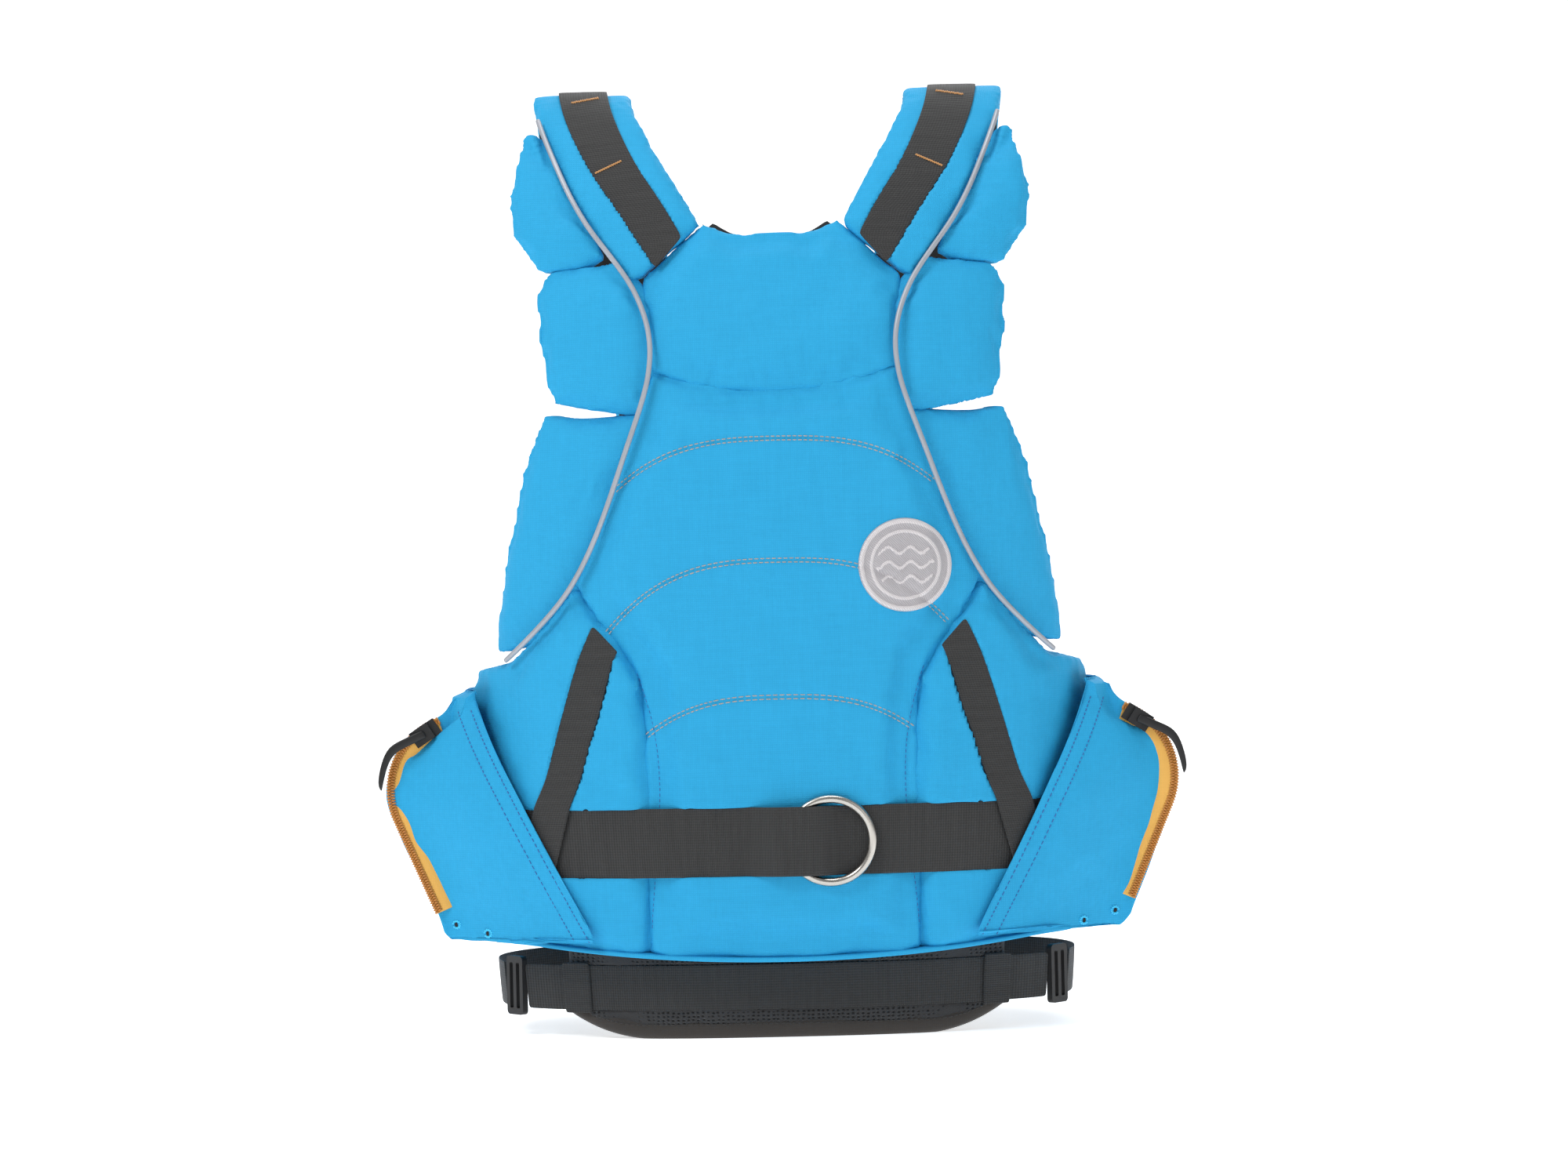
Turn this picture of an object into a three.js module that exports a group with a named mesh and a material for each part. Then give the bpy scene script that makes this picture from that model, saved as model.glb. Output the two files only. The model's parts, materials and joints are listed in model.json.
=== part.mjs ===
// Rescue buoyancy vest: foam panels in blue covers, six armhole wings, side pockets with curved zips,
// a rescue belt with a tow ring, and a lumbar pad with a waist strap.
// Millimetres. +Z is up, the back of the vest faces -Y and +X is the wearer's right side.
// The origin is under the middle of the vest, on the surface that it stands on.
import * as THREE from "three";

// ---------------------------------------------------------------- driving dimensions

const VEST_HEIGHT = 666; // lowest edge to the webbing over the shoulders
const BODY_WIDTH = 384; // torso that the vest is cut for, at the waist
const TORSO_POWER = 2.6; // squareness of the torso's oval section

const GAP = 0.3; // air between hard parts that touch
const PLY = 1.2; // air between two curved layers of cloth, foam or webbing
const SEAT = 0.8; // air under webbing and trim that lie on the cloth
const LINING = 1.5;
const FOAM = 18.5; // foam in the body panels
const SHOULDER_FOAM = 9; // foam over the shoulders
const COVER = 2;
const SEAM = 0.6; // air between two panels at a seam
const HEM = 4; // height of the bound hem

const WING_LIFT = 4; // wings start this far off the torso
const WING_FOAM = 15;
const WING_EDGE = 2.4; // a wing's thickness where it is sewn on
const PIPING_RADIUS = 2;

const BELT_WIDTH = 47.5; // rescue belt
const BELT_THICK = 2;
const BELT_LEVEL = 137.5; // its middle, above the ground
const RING_WIRE = 5.8;
const RING_BORE = 51.2;
const RING_OFFSET = 32; // ring's middle, to the wearer's right

const STRAP_WIDTH = 31; // shoulder and waist webbing
const STRAP_THICK = 1.6;
const STAY_THICK = 1.6; // slanting straps that hold the rescue belt

const BADGE_RADIUS = 32;
const BADGE_THICK = 1.6;

const POCKET_WALL = 1.6;
const POCKET_PLANE = 47; // the zip lies this far behind the middle of the sides
const ZIP_WIDTH = 12;
const ZIP_THICK = 2;
const ZIP_ARC = 48; // radius of the zip's curved end
const ZIP_RUN = 75; // length of its straight end
const CHEST_ZIP_LENGTH = 120;
const SLIDER = { long: 20, wide: 12, high: 6 };

const LUMBAR_THICK = 12;
const LUMBAR_HALF = 159;
const WAIST_LEVEL = 35.5; // middle of the waist strap
const ADJUSTER = { long: 18, frame: 5, bar: 3.5, thick: 4.5 };

const BUCKLE = { long: 34, high: 36, thick: 12, wall: 2.4, stem: 12 };
const CAM = { long: 44, cheek: 3, high: 12, base: 2, pin: 7, lever: 34 };

const SIDE_SEAM = 100; // degrees round from the middle of the back
const FOAM_SPLIT = 329; // the middle row of stitching parts the two body blocks
const ARC_START = 76; // degrees above level, where the zip begins
const ARC_END = -23.2; // where its straight end begins
const SLIDER_REST = 57; // degrees above level, where its slider rests
const PULLER = { arm: 26, tab: 24, wide: 6, thick: 2.2 };
const CHEST_POCKET = { half: 78, low: 196, high: 312, depth: 26, round: 12 };
const CHEST_ZIP_LEVEL = 296;
const BINDING = 12; // height of the bound edge along the bottom of the pad
const PAD_RIM = 0.6; // the bound edge stands this proud of the pad
const ADJUST_DEG = 77; // where the waist strap ends at an adjuster
const KEEPER_X = [138.5, 154]; // from and to, of a keeper loop on the waist strap
const BUCKLE_GAP_DEG = 8; // half the rescue belt's opening at the middle of the chest

// ---------------------------------------------------------------- torso

// Pattern lengths are drafted for a vest 666 high on a torso 384 wide, then graded to the size made.
const tall = (z) => (z * VEST_HEIGHT) / 666;
const girth = (x) => (x * BODY_WIDTH) / 384;

const rad = THREE.MathUtils.degToRad;
const mix = THREE.MathUtils.lerp;
const ease = THREE.MathUtils.smoothstep;

// A smooth function through a few [input, output] points.
function through(points) {
  const slope = points.map((_, i) => {
    const a = points[Math.max(i - 1, 0)];
    const b = points[Math.min(i + 1, points.length - 1)];
    return (b[1] - a[1]) / (b[0] - a[0]);
  });
  return (at) => {
    const last = points.length - 2;
    const found = points.findIndex((p, i) => i < last && at < points[i + 1][0]);
    const i = found < 0 ? last : found;
    const [[x0, y0], [x1, y1]] = [points[i], points[i + 1]];
    const t = THREE.MathUtils.clamp((at - x0) / (x1 - x0), 0, 1);
    const step = (x1 - x0) * t * (1 - t);
    return mix(y0, y1, t * t * (3 - 2 * t)) + step * ((1 - t) * slope[i] - t * slope[i + 1]);
  };
}

const halfWidth = through([[0, 178], [66, 183], [150, 190], [260, 192], [341, 203], [430, 211],
  [520, 218], [666, 232]]);
const backDepth = through([[0, 84], [66, 86], [150, 91], [260, 96], [341, 98], [430, 96], [520, 90]]);
const chestDepth = through([[0, 98], [66, 100], [150, 104], [260, 108], [341, 108], [430, 100], [520, 84]]);

// Above the armpits the torso closes over the shoulders as half an ellipse.
const DOME = tall(520);
const FOAM_LOW = LINING + PLY;
const foamTop = (z) => FOAM_LOW + mix(FOAM, SHOULDER_FOAM, ease(z, tall(470), tall(545)));
const coverLow = (z) => foamTop(z) + PLY;
const coverTop = (z) => coverLow(z) + COVER;
const SKIN = coverTop(0);
const DOME_RISE = VEST_HEIGHT - DOME - coverTop(VEST_HEIGHT) - PLY - STRAP_THICK;

// A point on the torso, lifted outward. A spot is { deg, z }, with deg turning from the middle of the back
// towards the wearer's right, or { x, over }, with over turning from the back over the shoulder.
function onTorso(spot, lift) {
  let { deg, z, x, over } = spot;
  const rise = DOME_RISE + lift;
  if (over === undefined && z > DOME) {
    const climb = THREE.MathUtils.radToDeg(Math.asin(Math.min((z - DOME) / rise, 1)));
    over = Math.cos(rad(deg)) < 0 ? 180 - climb : climb;
  }
  const front = over === undefined ? Math.cos(rad(deg)) < 0 : over > 90;
  const narrow = over === undefined ? 1 : Math.abs(Math.cos(rad(over)));
  const height = over === undefined ? z : DOME + rise * Math.sin(rad(over));
  const level = (height * 666) / VEST_HEIGHT;
  const half = girth(halfWidth(level)) + lift;
  const depth = (girth((front ? chestDepth : backDepth)(level)) + lift) * narrow;
  if (x !== undefined) {
    const bend = Math.max(1 - (Math.abs(x) / half) ** TORSO_POWER, 0) ** (1 / TORSO_POWER);
    return new THREE.Vector3(x, (front ? 1 : -1) * depth * bend, height);
  }
  const [side, ahead] = [Math.sin(rad(deg)), -Math.cos(rad(deg))];
  const reach = (Math.abs(side) / half) ** TORSO_POWER + (Math.abs(ahead) / depth) ** TORSO_POWER;
  const radius = reach ** (-1 / TORSO_POWER);
  return new THREE.Vector3(radius * side, radius * ahead, height);
}

// The spot whose lifted point stands x to the side, on the back or on the front.
function spotAt(x, z, { lift = SKIN, front = false } = {}) {
  const climb = Math.asin(Math.min(Math.max(z - DOME, 0) / (DOME_RISE + lift), 1));
  const over = THREE.MathUtils.radToDeg(climb);
  const flat = onTorso({ x, over: front ? 180 - over : over }, lift);
  if (z <= DOME) {
    const level = (z * 666) / VEST_HEIGHT;
    const half = girth(halfWidth(level)) + lift;
    const depth = girth((front ? chestDepth : backDepth)(level)) + lift;
    const bend = Math.max(1 - (Math.min(Math.abs(x), half) / half) ** TORSO_POWER, 0) ** (1 / TORSO_POWER);
    flat.set(x, (front ? 1 : -1) * depth * bend, z);
  }
  const deg = THREE.MathUtils.radToDeg(Math.atan2(flat.x, -flat.y));
  return { deg: front && deg < 0 ? deg + 360 : deg, z };
}
const back = (x, z, lift) => spotAt(girth(x), tall(z), { lift });
const chest = (x, z, lift) => spotAt(girth(x), tall(z), { lift, front: true });
const overBack = (x, z) => ({ x: girth(x), over: overOf(tall(z)) });
const overChest = (x, z) => ({ x: girth(x), over: 180 - overOf(tall(z)) });
function overOf(z) {
  const rise = DOME_RISE + coverTop(VEST_HEIGHT);
  return THREE.MathUtils.radToDeg(Math.asin(THREE.MathUtils.clamp((z - DOME) / rise, 0, 1)));
}

// Position and axes (along the girth, up, outward) of a lifted spot, for hard parts that sit there.
function seatAt(spot, lift) {
  const step = 0.5;
  const [a, b] = [-step, step].map((d) => onTorso({ ...spot, deg: spot.deg + d }, lift));
  const [c, d] = [-step, step].map((e) => onTorso({ ...spot, z: spot.z + e }, lift));
  const along = b.sub(a).normalize();
  const out = along.clone().cross(d.sub(c)).normalize();
  const up = out.clone().cross(along);
  return { at: onTorso(spot, lift), turn: new THREE.Matrix4().makeBasis(along, up, out) };
}

// ---------------------------------------------------------------- solids

const vest = new THREE.Group();

function piece(name, finish, geometry) {
  const mesh = new THREE.Mesh(geometry, new THREE.MeshStandardMaterial(finish));
  mesh.name = name;
  vest.add(mesh);
  return mesh;
}

function seated(mesh, { at, turn }) {
  mesh.quaternion.setFromRotationMatrix(turn);
  mesh.position.copy(at);
  return mesh;
}

// A closed slab between two grids of points, given row by row.
function slab(outer, inner) {
  const [rows, columns] = [outer.length, outer[0].length];
  const points = [...outer.flat(), ...inner.flat()];
  const index = [];
  const near = (j, i) => j * columns + i;
  const far = (j, i) => rows * columns + near(j, i);
  const quad = (a, b, c, d) => index.push(a, b, c, a, c, d);
  for (let j = 0; j + 1 < rows; j += 1) {
    for (let i = 0; i + 1 < columns; i += 1) {
      quad(near(j, i), near(j, i + 1), near(j + 1, i + 1), near(j + 1, i));
      quad(far(j, i), far(j + 1, i), far(j + 1, i + 1), far(j, i + 1));
    }
  }
  const rim = [
    ...outer[0].slice(1).map((_, i) => [[0, i + 1], [0, i]]),
    ...outer[0].slice(1).map((_, i) => [[rows - 1, i], [rows - 1, i + 1]]),
    ...outer.slice(1).map((_, j) => [[j, 0], [j + 1, 0]]),
    ...outer.slice(1).map((_, j) => [[j + 1, columns - 1], [j, columns - 1]]),
  ];
  rim.forEach(([a, b]) => quad(near(...a), near(...b), far(...b), far(...a)));
  const volume = (k) => {
    const [a, b, c] = [0, 1, 2].map((n) => points[index[k * 3 + n]]);
    return a.dot(b.clone().cross(c));
  };
  const total = [...Array(index.length / 3).keys()].reduce((sum, k) => sum + volume(k), 0);
  const geometry = new THREE.BufferGeometry().setFromPoints(points);
  geometry.setIndex(total < 0 ? index.reverse() : index);
  return geometry;
}

const lifted = (grid, lift) => grid.map((row, j) => row.map((spot, i) => {
  return onTorso(spot, typeof lift === "function" ? lift(spot, i, j) : lift);
}));
const layer = (grid, low, high) => slab(lifted(grid, high), lifted(grid, low));

// Blends four edges, each a list of spots, into a grid. Left and right run up, bottom and top run across.
function patch({ left, right, bottom, top }) {
  const keys = Object.keys(bottom[0]);
  const [m, k] = [bottom.length - 1, left.length - 1];
  return left.map((_, j) => bottom.map((__, i) => {
    const [u, v] = [i / m, j / k];
    const blend = (key) => {
      const sides = mix(left[j][key], right[j][key], u) + mix(bottom[i][key], top[i][key], v);
      return sides - mix(mix(left[0][key], right[0][key], u), mix(left[k][key], right[k][key], u), v);
    };
    return Object.fromEntries(keys.map((key) => [key, blend(key)]));
  }));
}

const steps = (n) => [...Array(n + 1).keys()].map((i) => i / n);
// Spots along a straight line in the pattern, or along a list of [x, z] points.
const line = (n, from, to, place) => steps(n).map((t) => place(mix(from[0], to[0], t), mix(from[1], to[1], t)));
const mirror = (spots) => spots.map((s) => ({ ...s, deg: -s.deg }));
const mirrorFront = (spots) => spots.map((s) => ({ ...s, deg: 360 - s.deg }));
const mirrorX = (spots) => spots.map((s) => ({ ...s, x: -s.x }));

// Pushes a grid of points inward by a wall's thickness.
function thicken(outer, wall) {
  const [rows, columns] = [outer.length, outer[0].length];
  const pick = (j, i) => outer[THREE.MathUtils.clamp(j, 0, rows - 1)][THREE.MathUtils.clamp(i, 0, columns - 1)];
  const inner = outer.map((row, j) => row.map((point, i) => {
    const across = pick(j, i + 1).clone().sub(pick(j, i - 1));
    const along = pick(j + 1, i).clone().sub(pick(j - 1, i));
    return point.clone().addScaledVector(across.cross(along).normalize(), -wall);
  }));
  return slab(outer, inner);
}

// A band round the torso between two angles, with a lift that may change on the way.
function band(degrees, level, width, low, thick) {
  const grid = [level - width / 2, level + width / 2].map((z) => degrees.map((deg) => ({ deg, z })));
  const lowAt = (spot) => (typeof low === "function" ? low(spot) : low);
  return layer(grid, lowAt, (spot) => lowAt(spot) + thick);
}

function extruded(outline, depth, options = {}) {
  const geometry = new THREE.ExtrudeGeometry(outline, { depth, bevelEnabled: false, curveSegments: 6, ...options });
  return geometry;
}

const polygon = (points) => new THREE.Shape(points.map(([x, y]) => new THREE.Vector2(x, y)));

function rounded(width, height, radius) {
  const [w, h, r] = [width / 2, height / 2, Math.min(radius, width / 2, height / 2)];
  const shape = new THREE.Shape();
  shape.absarc(w - r, h - r, r, 0, Math.PI / 2);
  shape.absarc(-w + r, h - r, r, Math.PI / 2, Math.PI);
  shape.absarc(-w + r, -h + r, r, Math.PI, Math.PI * 1.5);
  shape.absarc(w - r, -h + r, r, Math.PI * 1.5, Math.PI * 2);
  return shape;
}

// ---------------------------------------------------------------- finishes

const fabric = (color) => ({ color, roughness: 0.85, metalness: 0 });
const BLUE = fabric(0x2fa8e0);
const BLACK = fabric(0x333333);
const LINER = fabric(0x232425);
const WHITE_FOAM = fabric(0xd8d8d2);
const MESH = fabric(0x2e2e2f);
const EDGE = fabric(0x363234);
const GREY = fabric(0xa0a5af);
const BADGE = fabric(0xd6d1d2);
const ZIP = fabric(0xb7863d);
const PLASTIC = { color: 0x1c1c1d, roughness: 0.5, metalness: 0 };
const STEEL = { color: 0xb9b8b4, roughness: 0.3, metalness: 1 };

const SIDES = [["left", -1], ["right", 1]];

// ---------------------------------------------------------------- pattern lines, in pattern millimetres

const pipingX = through([[262, 192], [275, 177], [296, 156], [313, 142], [349, 123], [415, 98.5],
  [452, 86], [480, 83.5], [498, 87], [523, 98], [559, 124], [582, 137], [630, 157], [645, 162]]);
const princessX = through([[54, 94], [235, 94], [258, 102], [279, 117], [313, 142]]);
const panelX = (z) => (z < 313 ? princessX(z) : pipingX(z));
const hemZ = (x) => 54 + 12 * Math.min(Math.abs(x) / 176, 1) ** 2;
const yokeZ = (x) => 444 + 16 * (x / 84) ** 2;
const neckZ = through([[0, 553], [31, 553.5], [50.5, 563]]);
const SHOULDER_SEAM = [[50.5, 563], [96, 523.5]]; // where the yoke meets a shoulder pad

const hemAt = (deg) => tall(hemZ(onTorso({ deg, z: tall(60) }, SKIN).x / girth(1)));
const overHem = (deg) => ({ deg, z: hemAt(deg) + HEM + PLY }); // panels start above the hem

// Top edge of the back: shoulder seam, neckline, shoulder seam.
const backTop = [
  ...line(3, [-SHOULDER_SEAM[1][0], SHOULDER_SEAM[1][1]], [-SHOULDER_SEAM[0][0], SHOULDER_SEAM[0][1]], back),
  ...line(6, [-36, 0], [36, 0], (x) => back(x, neckZ(Math.abs(x)))),
  ...line(3, SHOULDER_SEAM[0], SHOULDER_SEAM[1], back),
];

// ---------------------------------------------------------------- back

const foamed = (grid) => layer(grid, FOAM_LOW, (s) => foamTop(s.z));
const covered = (grid) => layer(grid, (s) => coverLow(s.z), (s) => coverTop(s.z));
const flipped = (grid) => grid.map((row) => mirror(row));
const SEAM_DEG = SIDE_SEAM - 0.2;

function backLining() {
  const hemEnd = overHem(SEAM_DEG);
  const zs = [296, 349, 415, 452, 480, 498, 523.5];
  const right = [hemEnd, { ...hemEnd, z: tall(150) }, { ...hemEnd, z: tall(248) }, back(188, 262),
    ...zs.map((z) => back(pipingX(z) - 1, z))];
  const bottom = backTop.map((_, i) => overHem(mix(-SEAM_DEG, SEAM_DEG, i / (backTop.length - 1))));
  piece("lining_back", LINER, layer(patch({ left: mirror(right), right, bottom, top: backTop }), 0, LINING));
}

// A panel across the back, as wide as the piping and princess seams allow, between two pattern heights.
function backPanel(lowZ, highZ, rows, inset) {
  const columns = 10;
  const edge = rows.map((t) => {
    const z = mix(lowZ(90), highZ(86), t);
    return back(panelX(z) - inset, z);
  });
  const across = (zAt, x) => steps(columns).map((t) => back((t * 2 - 1) * x, zAt((t * 2 - 1) * x)));
  const bottom = across(lowZ, panelX(lowZ(90)) - inset);
  const top = across(highZ, panelX(highZ(86)) - inset);
  edge[0] = bottom[columns];
  edge[rows.length - 1] = top[columns];
  return patch({ left: mirror(edge), right: edge, bottom, top });
}

const hemTop = (x) => overHem(back(x, 60).deg).z / tall(1);

function yokePanel(inset) {
  const columns = backTop.length - 1;
  const x = pipingX(460) - inset;
  const bottom = steps(columns).map((t) => back((t * 2 - 1) * x, yokeZ((t * 2 - 1) * x) + SEAM));
  const top = backTop.map((s) => ({ deg: s.deg * (1 - inset / 100), z: s.z - inset }));
  const edge = [bottom[columns], ...[480, 498].map((z) => back(pipingX(z) - inset, z)), top[columns]];
  return patch({ left: mirror(edge), right: edge, bottom, top });
}

function backPanels() {
  const [foamInset, coverInset] = [7, 1.5];
  const lowFoam = backPanel(hemTop, () => FOAM_SPLIT - 1, steps(6), foamInset);
  const highFoam = backPanel(() => FOAM_SPLIT + 1, (x) => yokeZ(x) - 1, steps(4), foamInset);
  piece("foam_back_lower", WHITE_FOAM, foamed(lowFoam));
  piece("foam_back_upper", WHITE_FOAM, foamed(highFoam));
  piece("foam_yoke", WHITE_FOAM, foamed(yokePanel(foamInset)));
  const rows = [0, 0.16, 0.32, 0.44, 0.5, 0.56, 0.64, 0.76, 0.88, 1];
  piece("cover_back_centre", BLUE, covered(backPanel(hemTop, (x) => yokeZ(x) - SEAM, rows, coverInset)));
  piece("cover_yoke", BLUE, covered(yokePanel(coverInset)));
}

// The side panel runs from the princess seam round under the arm to the side seam.
function sidePanels() {
  const inset = 1.5;
  const inner = [0, 0.2, 0.4, 0.6, 0.75, 0.87, 1].map((t) => {
    const z = mix(hemTop(96), 311, t);
    return back(princessX(z) + inset, z);
  });
  const outer = inner.map((_, j) => {
    const low = overHem(SEAM_DEG);
    return { ...low, z: mix(low.z, tall(248), j / (inner.length - 1)) };
  });
  const underArm = [0.2, 0.4, 0.6, 0.8].map((t) => {
    return { deg: mix(back(191, 262).deg, SEAM_DEG, t), z: tall(mix(258, 248, t)) };
  });
  const armpit = [inner[6], ...[304, 296, 288, 281, 274, 268].map((z) => back(pipingX(z) + 0.5, z - 3)),
    back(191, 259), ...underArm, outer[6]];
  const hemLine = armpit.map((_, i) => overHem(mix(inner[0].deg, SEAM_DEG, i / (armpit.length - 1))));
  inner[0] = hemLine[0];
  const grid = patch({ left: inner, right: outer, bottom: hemLine, top: armpit });
  SIDES.forEach(([side, sign]) => {
    const turned = sign > 0 ? grid : flipped(grid);
    piece(`cover_side_${side}`, BLUE, covered(turned));
    piece(`foam_side_${side}`, WHITE_FOAM, foamed(turned));
  });
}

function hemBinding() {
  const low = steps(32).map((t) => mix(-SEAM_DEG, SEAM_DEG, t)).map((deg) => ({ deg, z: hemAt(deg) }));
  const high = low.map((s) => ({ ...s, z: s.z + HEM }));
  piece("hem_back", BLUE, layer([low, high], 0, SKIN));
}

// ---------------------------------------------------------------- shoulders

// Side positions against the angle over the shoulder, from points on the back, the fold and the chest.
function overShoulder(backPoints, fold, chestPoints) {
  const up = backPoints.map(([x, z]) => overBack(x, z));
  const down = chestPoints.map(([x, z]) => overChest(x, z));
  const all = [...up, { x: girth(fold), over: 90 }, ...down];
  return { at: through(all.map((s) => [s.over, s.x])), from: up[0].over, to: down[down.length - 1].over };
}

const heightOver = (s) => DOME + (DOME_RISE + coverTop(VEST_HEIGHT)) * Math.sin(rad(s.over));
const webbingLow = (s) => coverTop(heightOver(s)) + PLY;

function shoulders() {
  const inner = overShoulder([[52, 562], [62, 579], [74, 601], [88, 628], [97, 650]], 100,
    [[98, 648], [91, 622], [84, 590], [80, 560], [78, 530]]);
  const outer = overShoulder([[97, 524.5], [120, 558], [135, 582], [152, 621], [160, 650]], 163,
    [[163, 645], [160, 618], [153, 585], [145, 557], [138, 530]]);
  const padGrid = (inset) => steps(18).map((v) => {
    const [a, b] = [mix(inner.from, inner.to, v), mix(outer.from, outer.to, v)];
    const [x0, x1] = [inner.at(a) + inset, outer.at(b) - inset];
    return steps(4).map((u) => ({ x: mix(x0, x1, u), over: mix(a, b, u) }));
  });

  // Webbing over the shoulder, its back end cut along the yoke seam.
  const route = overShoulder([[70, 541], [88, 571], [109, 603], [124, 637], [129, 655]], 131,
    [[130, 655], [127, 632], [121, 600], [116, 574]]);
  const half = STRAP_WIDTH / 2 / Math.cos(Math.atan(0.46));
  const cutRise = 10.5;
  const end = (sign) => ({ x: girth(70) + sign * half * 0.55, over: overOf(tall(541 - sign * cutRise)) });
  const straight = steps(16).slice(1).map((t) => {
    const over = mix(overOf(tall(556)), route.to, t);
    return [-half, half].map((shift) => ({ x: route.at(over) + shift, over }));
  });
  const webbing = [[end(-1), end(1)], ...straight];

  SIDES.forEach(([side, sign]) => {
    const turned = (grid) => (sign > 0 ? grid : grid.map((row) => mirrorX(row)));
    const cover = layer(turned(padGrid(0)), (s) => coverLow(heightOver(s)), (s) => coverTop(heightOver(s)));
    piece(`cover_shoulder_${side}`, BLUE, cover);
    const foam = layer(turned(padGrid(9)), LINING, (s) => foamTop(heightOver(s)));
    piece(`foam_shoulder_${side}`, WHITE_FOAM, foam);
    const strap = layer(turned(webbing), webbingLow, (s) => webbingLow(s) + STRAP_THICK);
    piece(`webbing_shoulder_${side}`, BLACK, strap);
    shoulderAdjuster(side, sign, route);
  });
}

// A ladder-lock at the chest end of the shoulder webbing.
function shoulderAdjuster(side, sign, route) {
  const spot = { x: sign * route.at(route.to), over: route.to };
  const lift = webbingLow(spot);
  const seat = onTorso(spot, lift);
  const along = onTorso({ ...spot, over: spot.over + 4 }, lift).sub(seat).normalize();
  const across = onTorso({ ...spot, x: spot.x + 4 }, lift).sub(onTorso({ ...spot, x: spot.x - 4 }, lift));
  const out = across.cross(along).normalize();
  const turn = new THREE.Matrix4().makeBasis(along, out.clone().cross(along), out);
  seated(piece(`shoulder_adjuster_${side}`, PLASTIC, ladderLock()), { at: seat, turn });
}

// A frame with two slots. It hinges on its own Y axis, at the end of a strap that runs along X.
function ladderLock() {
  const { long, frame, bar, thick } = ADJUSTER;
  const high = STRAP_WIDTH + 2 * frame;
  const shape = rounded(long, high, 3);
  const slot = (long - 3 * bar) / 2;
  [-1, 1].forEach((side) => {
    const hole = rounded(slot, STRAP_WIDTH + 1, 1);
    const middle = (side * (slot + bar)) / 2;
    shape.holes.push(new THREE.Path(hole.getPoints(1).map((p) => p.add(new THREE.Vector2(middle, 0)))));
  });
  return extruded(shape, thick, { curveSegments: 2 }).translate(long / 2 + 2, 0, (STRAP_THICK - thick) / 2 + 1);
}

// ---------------------------------------------------------------- wings and piping

// Each wing: its seam's distance past the piping line, and the heights and corners of its outline.
const WINGS = {
  upper: { seam: -1.8, inner: [548, 570, 600, 627], bottom: [156, 534],
    outer: [[172, 558], [174, 585], [167, 605], [161.5, 627]] },
  middle: { seam: -3.4, inner: [424, 460, 500, 533], bottom: [146, 440],
    outer: [[151, 450], [155, 485], [157, 515], [148, 530]] },
  lower: { seam: -0.2, inner: [277, 315, 360, 413], bottom: [191, 270],
    outer: [[190.5, 290], [181, 345], [169, 395], [155, 432]] },
};

function wings() {
  const mid = WING_LIFT + WING_FOAM / 2;
  Object.entries(WINGS).forEach(([level, { seam, inner, bottom, outer }]) => {
    const heights = [inner[0], mix(inner[0], inner[1], 0.4), ...inner.slice(1)];
    // Shoulder pads are cut off upright, panels below them square to the torso.
    const start = heights.map((z) => back(pipingX(z) + seam, z, tall(z) > DOME ? WING_LIFT + 2 : SKIN));
    const end = [back(...bottom, mid), ...outer.map(([x, z]) => back(x, z, mid))];
    const between = (a, b, t) => ({ deg: mix(a.deg, b.deg, t), z: mix(a.z, b.z, t) });
    const rows = start.map((s, j) => steps(4).map((t) => between(s, end[j], t)));
    const last = rows.length - 1;
    // Half of the thickness: full in the middle, thin at the three free edges, flat at the seam.
    const half = (i, j) => {
      if (i === 0) return WING_EDGE / 2;
      return WING_FOAM / 2 * (j === 0 || j === last || i === 4 ? 0.55 : 1);
    };
    SIDES.forEach(([side, sign]) => {
      const grid = sign > 0 ? rows : rows.map((row) => mirror(row));
      const low = (s, i, j) => mid - half(i, j);
      const high = (s, i, j) => mid + half(i, j);
      piece(`wing_${level}_${side}`, BLUE, layer(grid, low, high));
    });
  });

  const zs = [264, 270, 278, 290, 304, 318, 335, 355, 380, 405, 430, 455, 480, 500, 520, 540, 560, 582, 605,
    628, 640];
  SIDES.forEach(([side, sign]) => {
    const points = zs.map((z) => {
      const lift = coverTop(tall(z)) + SEAT + PIPING_RADIUS;
      const spot = back(pipingX(z), z, lift);
      return onTorso({ ...spot, deg: sign * spot.deg }, lift);
    });
    const path = new THREE.CatmullRomCurve3(points);
    const round = new THREE.Shape().absarc(0, 0, PIPING_RADIUS, 0, Math.PI * 2);
    piece(`piping_${side}`, GREY, extruded(round, 1, { extrudePath: path, steps: 34, curveSegments: 4 }));
  });
}

// ---------------------------------------------------------------- rescue belt, stays, ring, badge

const BELT_LOW = SKIN + PLY;
const BELT_TOP = BELT_LOW + BELT_THICK;
const belt = { z: tall(BELT_LEVEL) };
const RING_RADIUS = (RING_BORE + RING_WIRE) / 2;
const RING_PASS = RING_WIRE / 2 + 2 * GAP; // wire's middle to the nearest face of the belt
const RING_LIFT = BELT_TOP + RING_PASS;
const ringX = girth(RING_OFFSET);
const ringSpot = spotAt(ringX, belt.z, { lift: RING_LIFT });
const ringSeat = seatAt(ringSpot, RING_LIFT);

// The belt runs over the ring's far side, dives through its bore, and runs under its near side.
function beltLow(spot) {
  const x = onTorso({ deg: spot.deg, z: belt.z }, RING_LIFT).x - ringX;
  if (Math.cos(rad(spot.deg)) < 0) return BELT_LOW;
  const chord = Math.sqrt((RING_BORE / 2) ** 2 - (BELT_WIDTH / 2) ** 2);
  const over = RING_LIFT + RING_PASS;
  const dive = mix(over, BELT_LOW, ease(x, -chord * 1.35, chord * 1.35));
  const outerEdge = RING_RADIUS + RING_WIRE / 2 + 2;
  return mix(BELT_LOW, dive, ease(x, -outerEdge - 26, -outerEdge));
}

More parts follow.
